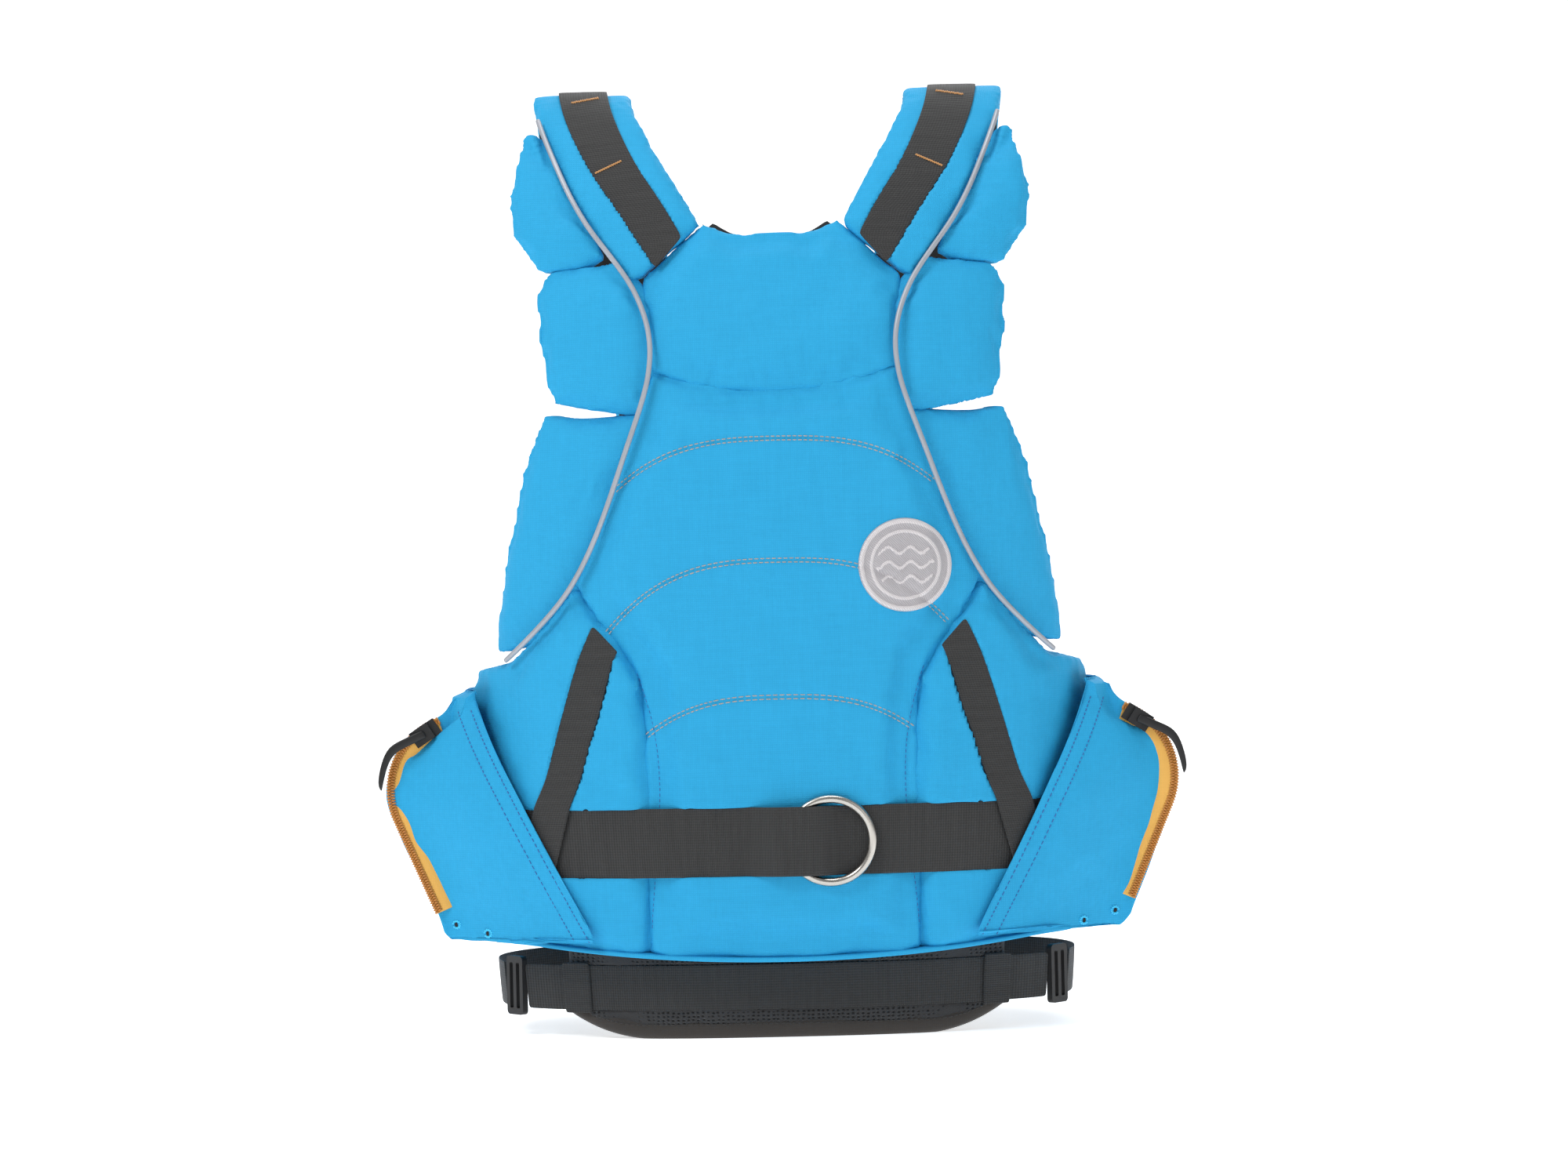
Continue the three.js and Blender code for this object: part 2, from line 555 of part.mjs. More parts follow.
function rescueBelt() {
  const nearRing = steps(28).map((t) => mix(-62, 42, t) + ringX);
  const fine = nearRing.map((x) => spotAt(x, belt.z, { lift: BELT_TOP }).deg);
  const wide = (from, to, n) => steps(n).map((t) => mix(from, to, t));
  const left = wide(-180 + BUCKLE_GAP_DEG, fine[0], 26).slice(0, -1);
  const right = wide(fine[fine.length - 1], 180 - BUCKLE_GAP_DEG, 24).slice(1);
  const degrees = [...left, ...fine, ...right];
  piece("rescue_belt", BLACK, band(degrees, belt.z, BELT_WIDTH, beltLow, BELT_THICK));

  const torus = new THREE.TorusGeometry(RING_RADIUS, RING_WIRE / 2, 8, 28);
  seated(piece("tow_ring", STEEL, torus), ringSeat);
}

const stayInner = through([[95, 159], [124, 151], [159, 142], [197, 132], [230, 121], [264, 112]]);
const stayOuter = through([[95, 184], [124, 176], [164, 165], [218, 150], [264, 136]]);
const beltEdge = belt.z + BELT_WIDTH / 2;
const stayLow = (z) => mix(BELT_TOP, SKIN, ease(z, beltEdge + 1, beltEdge + 22)) + PLY;
const STAY_TOP = BELT_TOP + PLY + STAY_THICK;

function stays() {
  const zs = [95, 115, 137, 160, 164, 172, 180, 190, 205, 225, 245, 264];
  const rows = zs.map((z) => [back(stayInner(z), z), back(stayOuter(z), z)]);
  rows.push([back(109, 269), back(125.5, 287)]);
  SIDES.forEach(([side, sign]) => {
    const grid = sign > 0 ? rows : rows.map((row) => mirror(row));
    const low = (s) => stayLow(s.z);
    piece(`stay_strap_${side}`, BLACK, layer(grid, low, (s) => low(s) + STAY_THICK));
  });
}

function badge() {
  const middle = [girth(85.5), tall(324)];
  const n = 6;
  const arc = (from, to) => steps(n).map((t) => {
    const a = rad(mix(from, to, t));
    const [across, up] = [BADGE_RADIUS * Math.cos(a), BADGE_RADIUS * Math.sin(a)];
    return spotAt(middle[0] + across, middle[1] + up, { lift: SKIN });
  });
  const disc = patch({ left: arc(225, 135), right: arc(-45, 45), bottom: arc(225, 315), top: arc(135, 45) });
  piece("badge", BADGE, layer(disc, SKIN + SEAT, SKIN + SEAT + BADGE_THICK));
}

// ---------------------------------------------------------------- side pockets and their zips

const zipCentre = new THREE.Vector2(girth(222.6), tall(174));
const RIM = STAY_TOP + PLY + POCKET_WALL; // the pocket's rim clears the belt and the stay under it

// A point in the zip's upright plane, a distance along the zip and an offset away from its middle.
function zipPoint(along, offset = 0) {
  const turn = THREE.MathUtils.radToDeg(along / ZIP_ARC);
  const angle = rad(Math.max(ARC_START - turn, ARC_END));
  const out = new THREE.Vector2(Math.cos(angle), Math.sin(angle));
  const point = out.multiplyScalar(ZIP_ARC + offset).add(zipCentre);
  const beyond = Math.max(along - rad(ARC_START - ARC_END) * ZIP_ARC, 0);
  return point.add(new THREE.Vector2(Math.sin(angle), -Math.cos(angle)).multiplyScalar(beyond));
}
const ZIP_LENGTH = rad(ARC_START - ARC_END) * ZIP_ARC + ZIP_RUN;
const zipStations = [0, 0.1, 0.2, 0.3, 0.4, 0.5, 0.62, 0.8, 1].map((t) => t * ZIP_LENGTH);

// The pocket's free edge, from the bottom hem to the armpit, and its rim on the front of the vest.
const flapEdge = through([[0, 129], [40, 151], [90, 177], [140, 202], [177, 216]]);
const pocketLow = zipPoint(ZIP_LENGTH).y - 17;
const pocketHigh = pocketLow + 174;

function pocketRow(along) {
  const t = along / ZIP_LENGTH; // 0 where the zip begins, at the top
  const rimZ = mix(pocketHigh - 6, pocketLow + 6, t);
  const flapX = girth(flapEdge(rimZ - pocketLow));
  const flap = onTorso(spotAt(flapX, rimZ, { lift: RIM }), RIM);
  const onPlane = (offset) => {
    const p = zipPoint(along, offset);
    return new THREE.Vector3(p.x, -POCKET_PLANE, p.y);
  };
  const [ledgeIn, ledgeOut] = [onPlane(-ZIP_WIDTH / 2 - 1), onPlane(ZIP_WIDTH / 2)];
  const between = flap.clone().lerp(ledgeIn, 0.5).add(new THREE.Vector3(0, -7, 0));
  const side = onPlane(ZIP_WIDTH / 2 + 1);
  side.y = -POCKET_PLANE + 24;
  const ahead = onTorso({ deg: SIDE_SEAM + 14, z: rimZ }, RIM);
  const corner = side.clone().lerp(ahead, 0.35).add(new THREE.Vector3(4, 12, 0));
  return [flap, between, ledgeIn, ledgeOut, side, corner, ahead];
}

function pockets() {
  const rows = zipStations.map(pocketRow);
  // Closing rows: a floor under the zip's lower end and a roof over its upper end, both back on the vest.
  const close = (row, z, share) => row.map((p, i) => {
    const deg = THREE.MathUtils.radToDeg(Math.atan2(p.x, -p.y));
    const seat = onTorso({ deg, z }, RIM);
    return i === 0 || i === row.length - 1 ? seat.setZ(z) : p.clone().setZ(z).lerp(seat, share);
  });
  const last = rows[rows.length - 1];
  const grid = [close(last, pocketLow + 3, 1), close(last, pocketLow, 0.12), ...rows.reverse(),
    close(rowTop(), pocketHigh - 4, 0.3), close(rowTop(), pocketHigh, 1)];
  SIDES.forEach(([side, sign]) => {
    const turned = grid.map((row) => row.map((p) => new THREE.Vector3(sign * p.x, p.y, p.z)));
    const facing = sign > 0 ? turned : turned.map((row) => row.reverse());
    piece(`pocket_${side}`, BLUE, thicken(facing, POCKET_WALL));
    pocketZip(side, sign);
  });
}
const rowTop = () => pocketRow(0);

const zipFace = -POCKET_PLANE - GAP;

function pocketZip(side, sign) {
  const edge = (offset, y) => steps(22).map((t) => {
    const p = zipPoint(mix(5, ZIP_LENGTH - 3, t), offset);
    return new THREE.Vector3(sign * p.x, y, p.y);
  });
  const strip = (y) => [edge(-ZIP_WIDTH / 2, y), edge(ZIP_WIDTH / 2, y)];
  piece(`zip_${side}`, ZIP, slab(strip(zipFace - ZIP_THICK), strip(zipFace)));

  // The slider rides over the teeth. Its own X runs down the zip and its own Z points off the pocket.
  const rest = rad(SLIDER_REST);
  const along = new THREE.Vector3(sign * Math.sin(rest), 0, -Math.cos(rest));
  const out = new THREE.Vector3(0, -1, 0);
  const turn = new THREE.Matrix4().makeBasis(along, out.clone().cross(along), out);
  const at = new THREE.Vector3(sign * (zipCentre.x + ZIP_ARC * Math.cos(rest)), zipFace - ZIP_THICK - GAP,
    zipCentre.y + ZIP_ARC * Math.sin(rest));
  zipSlider(side, { at, turn }, sign);
}

// A slider with a bridge, and a puller whose eye loops round the bridge.
function zipSlider(side, seat, sign) {
  const { long, wide, high } = SLIDER;
  const profile = polygon([[-long / 2, 0], [long / 2, 0], [long / 2, 2.2], [long / 4, 2.2], [long / 4, high],
    [-long / 4, high], [-long / 4, 2.2], [-long / 2, 2.2]]);
  profile.holes.push(polygon([[-long / 4 + 1.8, 2.6], [-long / 4 + 1.8, high - 1.6], [long / 4 - 1.8, high - 1.6],
    [long / 4 - 1.8, 2.6]]));
  const body = extruded(profile, wide).rotateX(Math.PI / 2).translate(0, wide / 2, 0);
  seated(piece(`zip_slider_${side}`, PLASTIC, body), seat);
  puller(`zip_puller_${side}`, seat, sign);
}

// The puller is a flat tab with an eye over the slider's bridge. It points down the zip.
function puller(name, seat, sign) {
  const { arm, tab, wide, thick } = PULLER;
  const pin = SLIDER.high + GAP; // the eye lies just over the bridge
  const droop = [[0, 0], [arm * 0.55, 2], [arm, 4], [arm + tab * 0.45, -3], [arm + tab * 0.9, -14]];
  const left = droop.map(([x, y]) => new THREE.Vector3(x, sign * y - wide / 2, 0));
  const rightEdge = droop.map(([x, y]) => new THREE.Vector3(x, sign * y + wide / 2, 0));
  const rise = (points, z) => points.map((p) => p.clone().setZ(z));
  const face = (z) => [rise(left, z), rise(rightEdge, z)];
  const strip = slab(face(pin + thick), face(pin));
  seated(piece(name, PLASTIC, strip), seat);
}

// ---------------------------------------------------------------- front

const frontX = through([[250, 176], [275, 160], [300, 146], [345, 125], [400, 112], [450, 116], [500, 131],
  [527, 137]]);
const frontHem = (x) => 62 * ease(Math.abs(x), 104, 172);
const frontNeck = through([[0, 448], [40, 456], [62, 484], [79, 527]]);
const FRONT_NECK_X = [137, 108, 79, 68, 54, 36, 18, 0];
const FRONT_ROWS = [250, 270, 290, 320, 360, 400, 440, 480, 527];

function frontPanels() {
  const sideDeg = SIDE_SEAM + 0.3;
  const hemEnd = overHem(sideDeg);
  const rightSide = [hemEnd, ...[125, 190, 246].map((z) => ({ ...hemEnd, z: tall(z) })),
    ...FRONT_ROWS.slice(1).map((z) => chest(frontX(z), z))];
  const neckX = [...FRONT_NECK_X, ...FRONT_NECK_X.slice(0, -1).reverse().map((x) => -x)];
  const bottom = neckX.map((_, i) => {
    const deg = mix(sideDeg, 360 - sideDeg, i / (neckX.length - 1));
    const x = onTorso({ deg, z: tall(40) }, SKIN).x / girth(1);
    return { deg, z: Math.min(tall(frontHem(x)), hemEnd.z) };
  });
  const top = neckX.map((x) => chest(x, Math.abs(x) > 79 ? 527 : frontNeck(Math.abs(x))));
  const grid = patch({ left: rightSide, right: mirrorFront(rightSide), bottom, top });
  piece("lining_front", LINER, layer(grid, 0, LINING));
  piece("foam_front", WHITE_FOAM, foamed(grid));
  piece("cover_front", BLUE, covered(grid));
}

const chestPlane = onTorso({ deg: 180, z: tall(255) }, SKIN).y + CHEST_POCKET.depth;

function chestPocket() {
  const { half, low, high, round } = CHEST_POCKET;
  const xs = [half, half - 4, half - round, half * 0.4, 0].map(girth);
  const columns = [...xs, ...xs.slice(0, -1).reverse().map((x) => -x)];
  const zs = [low, low + 4, low + round, (low + high) / 2, high - round, high - 4, high].map(tall);
  const rim = SKIN + SEAT / 2 + POCKET_WALL;
  const outer = zs.map((z, j) => columns.map((x, i) => {
    const ring = Math.min(j, zs.length - 1 - j, i, columns.length - 1 - i);
    const seat = onTorso(spotAt(x, z, { lift: rim, front: true }), rim);
    const full = new THREE.Vector3(x, chestPlane, z);
    return ring === 0 ? seat : seat.lerp(full, ring === 1 ? 0.82 : 1);
  }));
  piece("chest_pocket", BLUE, thicken(outer, POCKET_WALL));

  const face = chestPlane + GAP;
  const strip = new THREE.BoxGeometry(CHEST_ZIP_LENGTH, ZIP_THICK, ZIP_WIDTH);
  strip.translate(0, face + ZIP_THICK / 2, tall(CHEST_ZIP_LEVEL));
  piece("zip_chest", ZIP, strip);
  const along = new THREE.Vector3(-1, 0, 0);
  const out = new THREE.Vector3(0, 1, 0);
  const turn = new THREE.Matrix4().makeBasis(along, out.clone().cross(along), out);
  const startX = CHEST_ZIP_LENGTH / 2 - SLIDER.long / 2 - 2;
  const at = new THREE.Vector3(startX, face + ZIP_THICK + GAP, tall(CHEST_ZIP_LEVEL));
  zipSlider("chest", { at, turn }, 0);
}

// ---------------------------------------------------------------- rescue belt buckle

const camLift = BELT_TOP + GAP;

// The belt's two ends meet under a cam buckle: a channel, and a lever on a pin between its cheeks.
function camBuckle() {
  const { long, cheek, high, pin, base, lever } = CAM;
  const seat = seatAt({ deg: 180, z: belt.z }, camLift);
  const inside = BELT_WIDTH + 2 * GAP;
  const wide = inside + 2 * cheek;
  const section = polygon([[-wide / 2, 0], [wide / 2, 0], [wide / 2, high], [inside / 2, high], [inside / 2, base],
    [-inside / 2, base], [-inside / 2, high], [-wide / 2, high]]);
  const channel = extruded(section, long).rotateX(Math.PI / 2).rotateZ(Math.PI / 2).translate(-long / 2, 0, 0);
  seated(piece("cam_buckle", PLASTIC, channel), seat);

  const cam = new THREE.Shape();
  cam.moveTo(0, -pin / 2);
  cam.lineTo(lever, -1.2);
  cam.lineTo(lever, 1.2);
  cam.lineTo(pin, pin / 2);
  cam.absarc(0, 0, pin / 2, Math.PI / 2, Math.PI * 1.5);
  const arm = extruded(cam, inside - 2 * GAP).rotateX(Math.PI / 2);
  arm.translate(0, (inside - 2 * GAP) / 2, 0);
  const pinHeight = base + pin / 2 + GAP + 0.4;
  const pinSeat = { turn: seat.turn, at: new THREE.Vector3(-long / 2 + pin, 0, pinHeight) };
  pinSeat.at.applyMatrix4(seat.turn).add(seat.at);
  seated(piece("cam_lever", PLASTIC, arm), pinSeat);
}

// ---------------------------------------------------------------- lumbar pad and waist strap

const PAD_LIFT = -2 * PLY;
const padHem = (x) => 20 * (Math.max(x - 100, 0) / (LUMBAR_HALF - 100)) ** 2;
const strapHalf = STRAP_WIDTH / 2;
const waist = tall(WAIST_LEVEL);

function lumbar() {
  const xs = [0, 25, 50, 75, 100, 113, 126, 137, 147, LUMBAR_HALF];
  const columns = [...xs.slice(1).reverse().map((x) => -x), ...xs];
  const spotOn = (x, z) => back(x, z, 0);
  const bottomAt = (x) => padHem(Math.abs(x)) + BINDING;
  const topAt = (x) => 92 - 26 * ease(Math.abs(x), 128, LUMBAR_HALF);
  const rows = steps(3).map((v) => columns.map((x) => spotOn(x, mix(bottomAt(x) + PLY, topAt(x), v))));
  piece("lumbar_pad", MESH, layer(rows, PAD_LIFT - LUMBAR_THICK, PAD_LIFT));
  const edge = [0, BINDING].map((rise) => columns.map((x) => spotOn(x, padHem(Math.abs(x)) + rise)));
  piece("lumbar_binding", EDGE, layer(edge, PAD_LIFT - LUMBAR_THICK - PAD_RIM, PAD_LIFT + PAD_RIM));
}

// The waist strap lies on the pad, swings out to the sides and runs over the front panel.
const ON_PAD = PAD_LIFT + PAD_RIM + SEAT;
const ON_FRONT = SKIN + SEAT;
const waistLift = through([[0, ON_PAD], [50, ON_PAD], [66, ON_PAD], [74, 6], [80, 13], [88, 20], [100, ON_FRONT],
  [120, ON_FRONT], [180, ON_FRONT]]);
const waistLow = (s) => waistLift(s.deg > 180 ? 360 - s.deg : Math.abs(s.deg));

function waistStrap() {
  const degrees = steps(32).map((t) => mix(-ADJUST_DEG, ADJUST_DEG, t));
  piece("waist_webbing", BLACK, band(degrees, waist, STRAP_WIDTH, waistLow, STRAP_THICK));
  const overStrap = (s) => waistLow(s) + STRAP_THICK + GAP + 0.5;
  SIDES.forEach(([side, sign]) => {
    const xs = [KEEPER_X[0], (KEEPER_X[0] + KEEPER_X[1]) / 2, KEEPER_X[1]];
    const degs = xs.map((x) => sign * spotAt(girth(x), waist, { lift: 3 }).deg);
    const loop = [waist - strapHalf - 2, waist + strapHalf + 2].map((z) => degs.map((deg) => ({ deg, z })));
    piece(`webbing_keeper_${side}`, BLACK, layer(loop, overStrap, (s) => overStrap(s) + STRAP_THICK));

    const spot = { deg: sign * ADJUST_DEG, z: waist };
    const seat = strapSeat(spot, sign);
    seated(piece(`waist_adjuster_${side}`, PLASTIC, ladderLock()), seat);
    const clearOfLock = ADJUST_DEG + 7.5;
    const ends = steps(24).map((t) => sign * mix(clearOfLock, 180 - BUCKLE_END, t));
    piece(`waist_strap_${side}`, BLACK, band(ends, waist, STRAP_WIDTH, waistLow, STRAP_THICK));
  });
}

// Axes at a spot on the waist strap: X runs on along the strap, Y across it and Z outward.
function strapSeat(spot, sign) {
  const lift = waistLow(spot);
  const at = onTorso(spot, lift);
  const next = { ...spot, deg: spot.deg + sign * 4 };
  const along = onTorso(next, waistLow(next)).sub(at).normalize();
  const out = along.clone().cross(new THREE.Vector3(0, 0, sign)).normalize();
  return { at, turn: new THREE.Matrix4().makeBasis(along, out.clone().cross(along), out) };
}

const buckleHalf = BUCKLE.long + BUCKLE.stem;
const frontOfWaist = onTorso({ deg: 180, z: waist }, ON_FRONT).y;
const BUCKLE_END = THREE.MathUtils.radToDeg(Math.atan2(buckleHalf / 2 + 2, frontOfWaist));

// Side-release buckle at the front of the waist: a flat sleeve, and a tongue with two prongs inside it.
function waistBuckle() {
  const { long, high, thick, wall, stem } = BUCKLE;
  const seat = seatAt({ deg: 180, z: waist }, ON_FRONT);
  const sleeve = rounded(high, thick, 3);
  sleeve.holes.push(new THREE.Path(rounded(high - 2 * wall, thick - 2 * wall, 0.4).getPoints(3)));
  const socket = extruded(sleeve, long).rotateX(Math.PI / 2).rotateZ(Math.PI / 2);
  socket.translate(-long, 0, thick / 2);
  const shift = (geometry) => geometry.translate(buckleHalf / 2 - stem, 0, 0);
  seated(piece("buckle_socket", PLASTIC, shift(socket)), seat);

  const inside = high - 2 * wall - 4 * GAP;
  const [slim, reach] = [thick - 2 * wall - 2 * GAP, long * 0.7];
  const outline = polygon([[GAP, -high / 2], [stem, -high / 2], [stem, high / 2], [GAP, high / 2],
    [GAP, inside / 2], [-reach, inside / 2], [-reach, inside / 2 - 5], [-5, inside / 2 - 6],
    [-5, 3], [-reach, 3], [-reach, -3], [-5, -3], [-5, 6 - inside / 2],
    [-reach, 5 - inside / 2], [-reach, -inside / 2], [GAP, -inside / 2]]);
  const tongue = extruded(outline, slim).translate(0, 0, (thick - slim) / 2);
  seated(piece("buckle_tongue", PLASTIC, shift(tongue)), seat);
}

// ---------------------------------------------------------------- assembly

backLining();
backPanels();
sidePanels();
hemBinding();
shoulders();
wings();
rescueBelt();
stays();
badge();
pockets();
frontPanels();
chestPocket();
camBuckle();
lumbar();
waistStrap();
waistBuckle();

// The origin goes to the middle of the vest's box, on the ground.
const box = new THREE.Box3().setFromObject(vest, true);
const middle = box.getCenter(new THREE.Vector3());
vest.position.set(-middle.x, -middle.y, -box.min.z);

export default vest;
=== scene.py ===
import json
import math

import bmesh
import bpy
import numpy as np
from bpy.props import FloatProperty, FloatVectorProperty, IntProperty, PointerProperty
from mathutils import Matrix, Vector, noise
from mathutils.bvhtree import BVHTree
from mathutils.kdtree import KDTree


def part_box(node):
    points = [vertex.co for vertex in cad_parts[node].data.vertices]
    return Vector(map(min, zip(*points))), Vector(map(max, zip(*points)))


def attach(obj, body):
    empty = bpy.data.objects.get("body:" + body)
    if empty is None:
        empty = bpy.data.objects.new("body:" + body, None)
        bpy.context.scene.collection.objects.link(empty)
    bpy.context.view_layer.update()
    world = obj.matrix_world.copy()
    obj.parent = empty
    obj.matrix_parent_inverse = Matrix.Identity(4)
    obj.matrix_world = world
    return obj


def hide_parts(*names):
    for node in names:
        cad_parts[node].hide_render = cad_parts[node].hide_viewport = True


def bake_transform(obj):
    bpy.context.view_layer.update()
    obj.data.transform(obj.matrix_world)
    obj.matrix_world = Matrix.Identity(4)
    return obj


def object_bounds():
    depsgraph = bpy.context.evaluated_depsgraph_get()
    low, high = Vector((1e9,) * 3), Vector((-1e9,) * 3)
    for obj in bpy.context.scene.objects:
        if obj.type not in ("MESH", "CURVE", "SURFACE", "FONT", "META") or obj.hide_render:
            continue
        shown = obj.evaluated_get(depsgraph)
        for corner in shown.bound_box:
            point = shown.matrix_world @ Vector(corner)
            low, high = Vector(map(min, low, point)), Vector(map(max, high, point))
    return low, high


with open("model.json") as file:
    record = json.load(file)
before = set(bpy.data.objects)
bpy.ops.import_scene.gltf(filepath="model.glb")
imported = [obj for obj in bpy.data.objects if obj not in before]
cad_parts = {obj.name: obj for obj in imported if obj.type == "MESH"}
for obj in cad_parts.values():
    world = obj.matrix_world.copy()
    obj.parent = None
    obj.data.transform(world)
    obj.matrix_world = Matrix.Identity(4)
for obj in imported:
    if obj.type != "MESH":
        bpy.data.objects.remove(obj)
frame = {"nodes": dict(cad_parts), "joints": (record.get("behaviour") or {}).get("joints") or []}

bl_info = {
    "name": "Rescue Buoyancy Vest",
    "version": (1, 0, 0),
    "blender": (4, 5, 0),
    "location": "3D View > Sidebar > Vest",
    "description": "Dresses a rescue buoyancy vest in nylon, webbing, foam and fittings",
    "category": "Object",
}

CAD_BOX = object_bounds()
SIDES = (("left", -1), ("right", 1))
LEVELS = ("upper", "middle", "lower")
AXIS_Y = (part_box("lining_back")[0].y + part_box("lining_front")[1].y) / 2 - 0.0065
HALF_WIDTH, HALF_DEPTH, DOME = 0.2, 0.11, 0.52  # the torso inside the vest, and where the shoulders begin


def linear(code):
    """An sRGB hex colour such as 2FA0DC as a linear colour with alpha."""
    parts = [int(code[i:i + 2], 16) / 255 for i in (0, 2, 4)]
    return (*[p / 12.92 if p <= 0.04045 else ((p + 0.055) / 1.055) ** 2.4 for p in parts], 1.0)


def colour(code, name, text):
    """A colour property with a linear default."""
    return FloatVectorProperty(name=name, description=text, subtype="COLOR", size=4, min=0, max=1,
                               default=linear(code))


def size(value, name, text):
    """A length property in metres."""
    return FloatProperty(name=name, description=text, unit="LENGTH", default=value, min=0, precision=5)


# ------------------------------------------------------------------ settings

class ClothSettings(bpy.types.PropertyGroup):
    """Cloth, foam and thread."""
    nylon: colour("259FD2", "Nylon", "Dyed nylon of the shell")
    lining: colour("232526", "Lining", "Nylon of the lining")
    mesh: colour("2E2E2F", "Spacer mesh", "Mesh of the lumbar pad")
    tape: colour("38332F", "Edge tape", "Binding of the lumbar pad")
    piping: colour("A6AAB2", "Piping", "Reflective piping")
    topstitch: colour("A7A29B", "Topstitch", "Thread of the decorative rows")
    seam_thread: colour("0F62A6", "Seam thread", "Thread of the working seams")
    thread_gap: size(0.0013, "Thread spacing", "From one thread of the weave to the next")
    voxel: size(0.0042, "Cloth grid", "Grid that the padded panels are simulated on")
    puff: size(0.004, "Puff", "Furthest that a panel swells")
    stitch: size(0.0032, "Stitch", "Length of one stitch")
    thread: size(0.00042, "Thread", "Radius of a thread")


class WebbingSettings(bpy.types.PropertyGroup):
    """Webbing and its bar tacks."""
    webbing: colour("2B2B2B", "Webbing", "Polyester webbing")
    bar_tack: colour("C08A50", "Bar tack", "Thread of the bar tacks")
    rib: size(0.0015, "Rib", "From one rib of the webbing to the next")


class FittingSettings(bpy.types.PropertyGroup):
    """Zips, badge, ring and moulded fittings."""
    coil: colour("B9772F", "Zip coil", "Coil of the zips")
    zip_tape: colour("E2AC55", "Zip tape", "Woven tape of the zips")
    acetal: colour("151516", "Acetal", "Moulded buckles, adjusters and sliders")
    steel: colour("BDB9B2", "Steel", "Stainless steel ring")
    patch: colour("D3CED0", "Patch", "Raised thread of the badge")
    patch_field: colour("AFABAF", "Patch field", "Ground thread of the badge")
    tooth: size(0.0017, "Tooth", "From one tooth of the coil to the next")
    waves: IntProperty(name="Waves", description="Wavy lines on the badge", default=3, min=1, max=6)


# ------------------------------------------------------------------ materials

def add_node(tree, kind, settings=None, links=None):
    """Adds a node, sets its properties or input values, and links its inputs from other sockets."""
    made = tree.nodes.new(kind)
    for key, value in (settings or {}).items():
        if isinstance(key, str) and hasattr(made, key):
            setattr(made, key, value)
        else:
            made.inputs[key].default_value = value
    for key, socket in (links or {}).items():
        tree.links.new(socket, made.inputs[key])
    return made


def surface(name, settings, detail=None):
    """A Principled material. detail(tree) returns sockets for its colour, roughness and normal."""
    made = bpy.data.materials.get(name)
    if made:
        return made
    made = bpy.data.materials.new(name)
    made.use_nodes = True
    tree = made.node_tree
    shader = tree.nodes["Principled BSDF"]
    for key, value in settings.items():
        shader.inputs[key].default_value = value
    for key, socket in (detail(tree) if detail else {}).items():
        tree.links.new(socket, shader.inputs[key])
    return made


def maths(tree, operation, a, b):
    """A Math node's result. a and b are sockets or numbers."""
    made = add_node(tree, "ShaderNodeMath", {"operation": operation})
    for i, value in enumerate((a, b)):
        if isinstance(value, (int, float)):
            made.inputs[i].default_value = value
        else:
            tree.links.new(value, made.inputs[i])
    return made.outputs[0]


def blend_colours(tree, factor, dark, light):
    """A colour between two constants."""
    ramp = add_node(tree, "ShaderNodeValToRGB", links={"Fac": factor})
    ramp.color_ramp.elements[0].color = dark
    ramp.color_ramp.elements[1].color = light
    return ramp.outputs["Color"]


def shade(value, k):
    """A colour made darker or lighter."""
    return (*[min(c * k, 1) for c in value[:3]], 1.0)


def threads(tree, at, spacing, axis, wobble):
    """Ridges a spacing apart in metres. A wave of scale 1 repeats every pi / 10."""
    wave = add_node(tree, "ShaderNodeTexWave", {"wave_type": "BANDS", "bands_direction": axis,
                    "Scale": math.pi / 10 / spacing, "Distortion": wobble, "Detail": 1.0, "Detail Scale": 0.6},
                    {"Vector": at})
    return wave.outputs["Fac"]


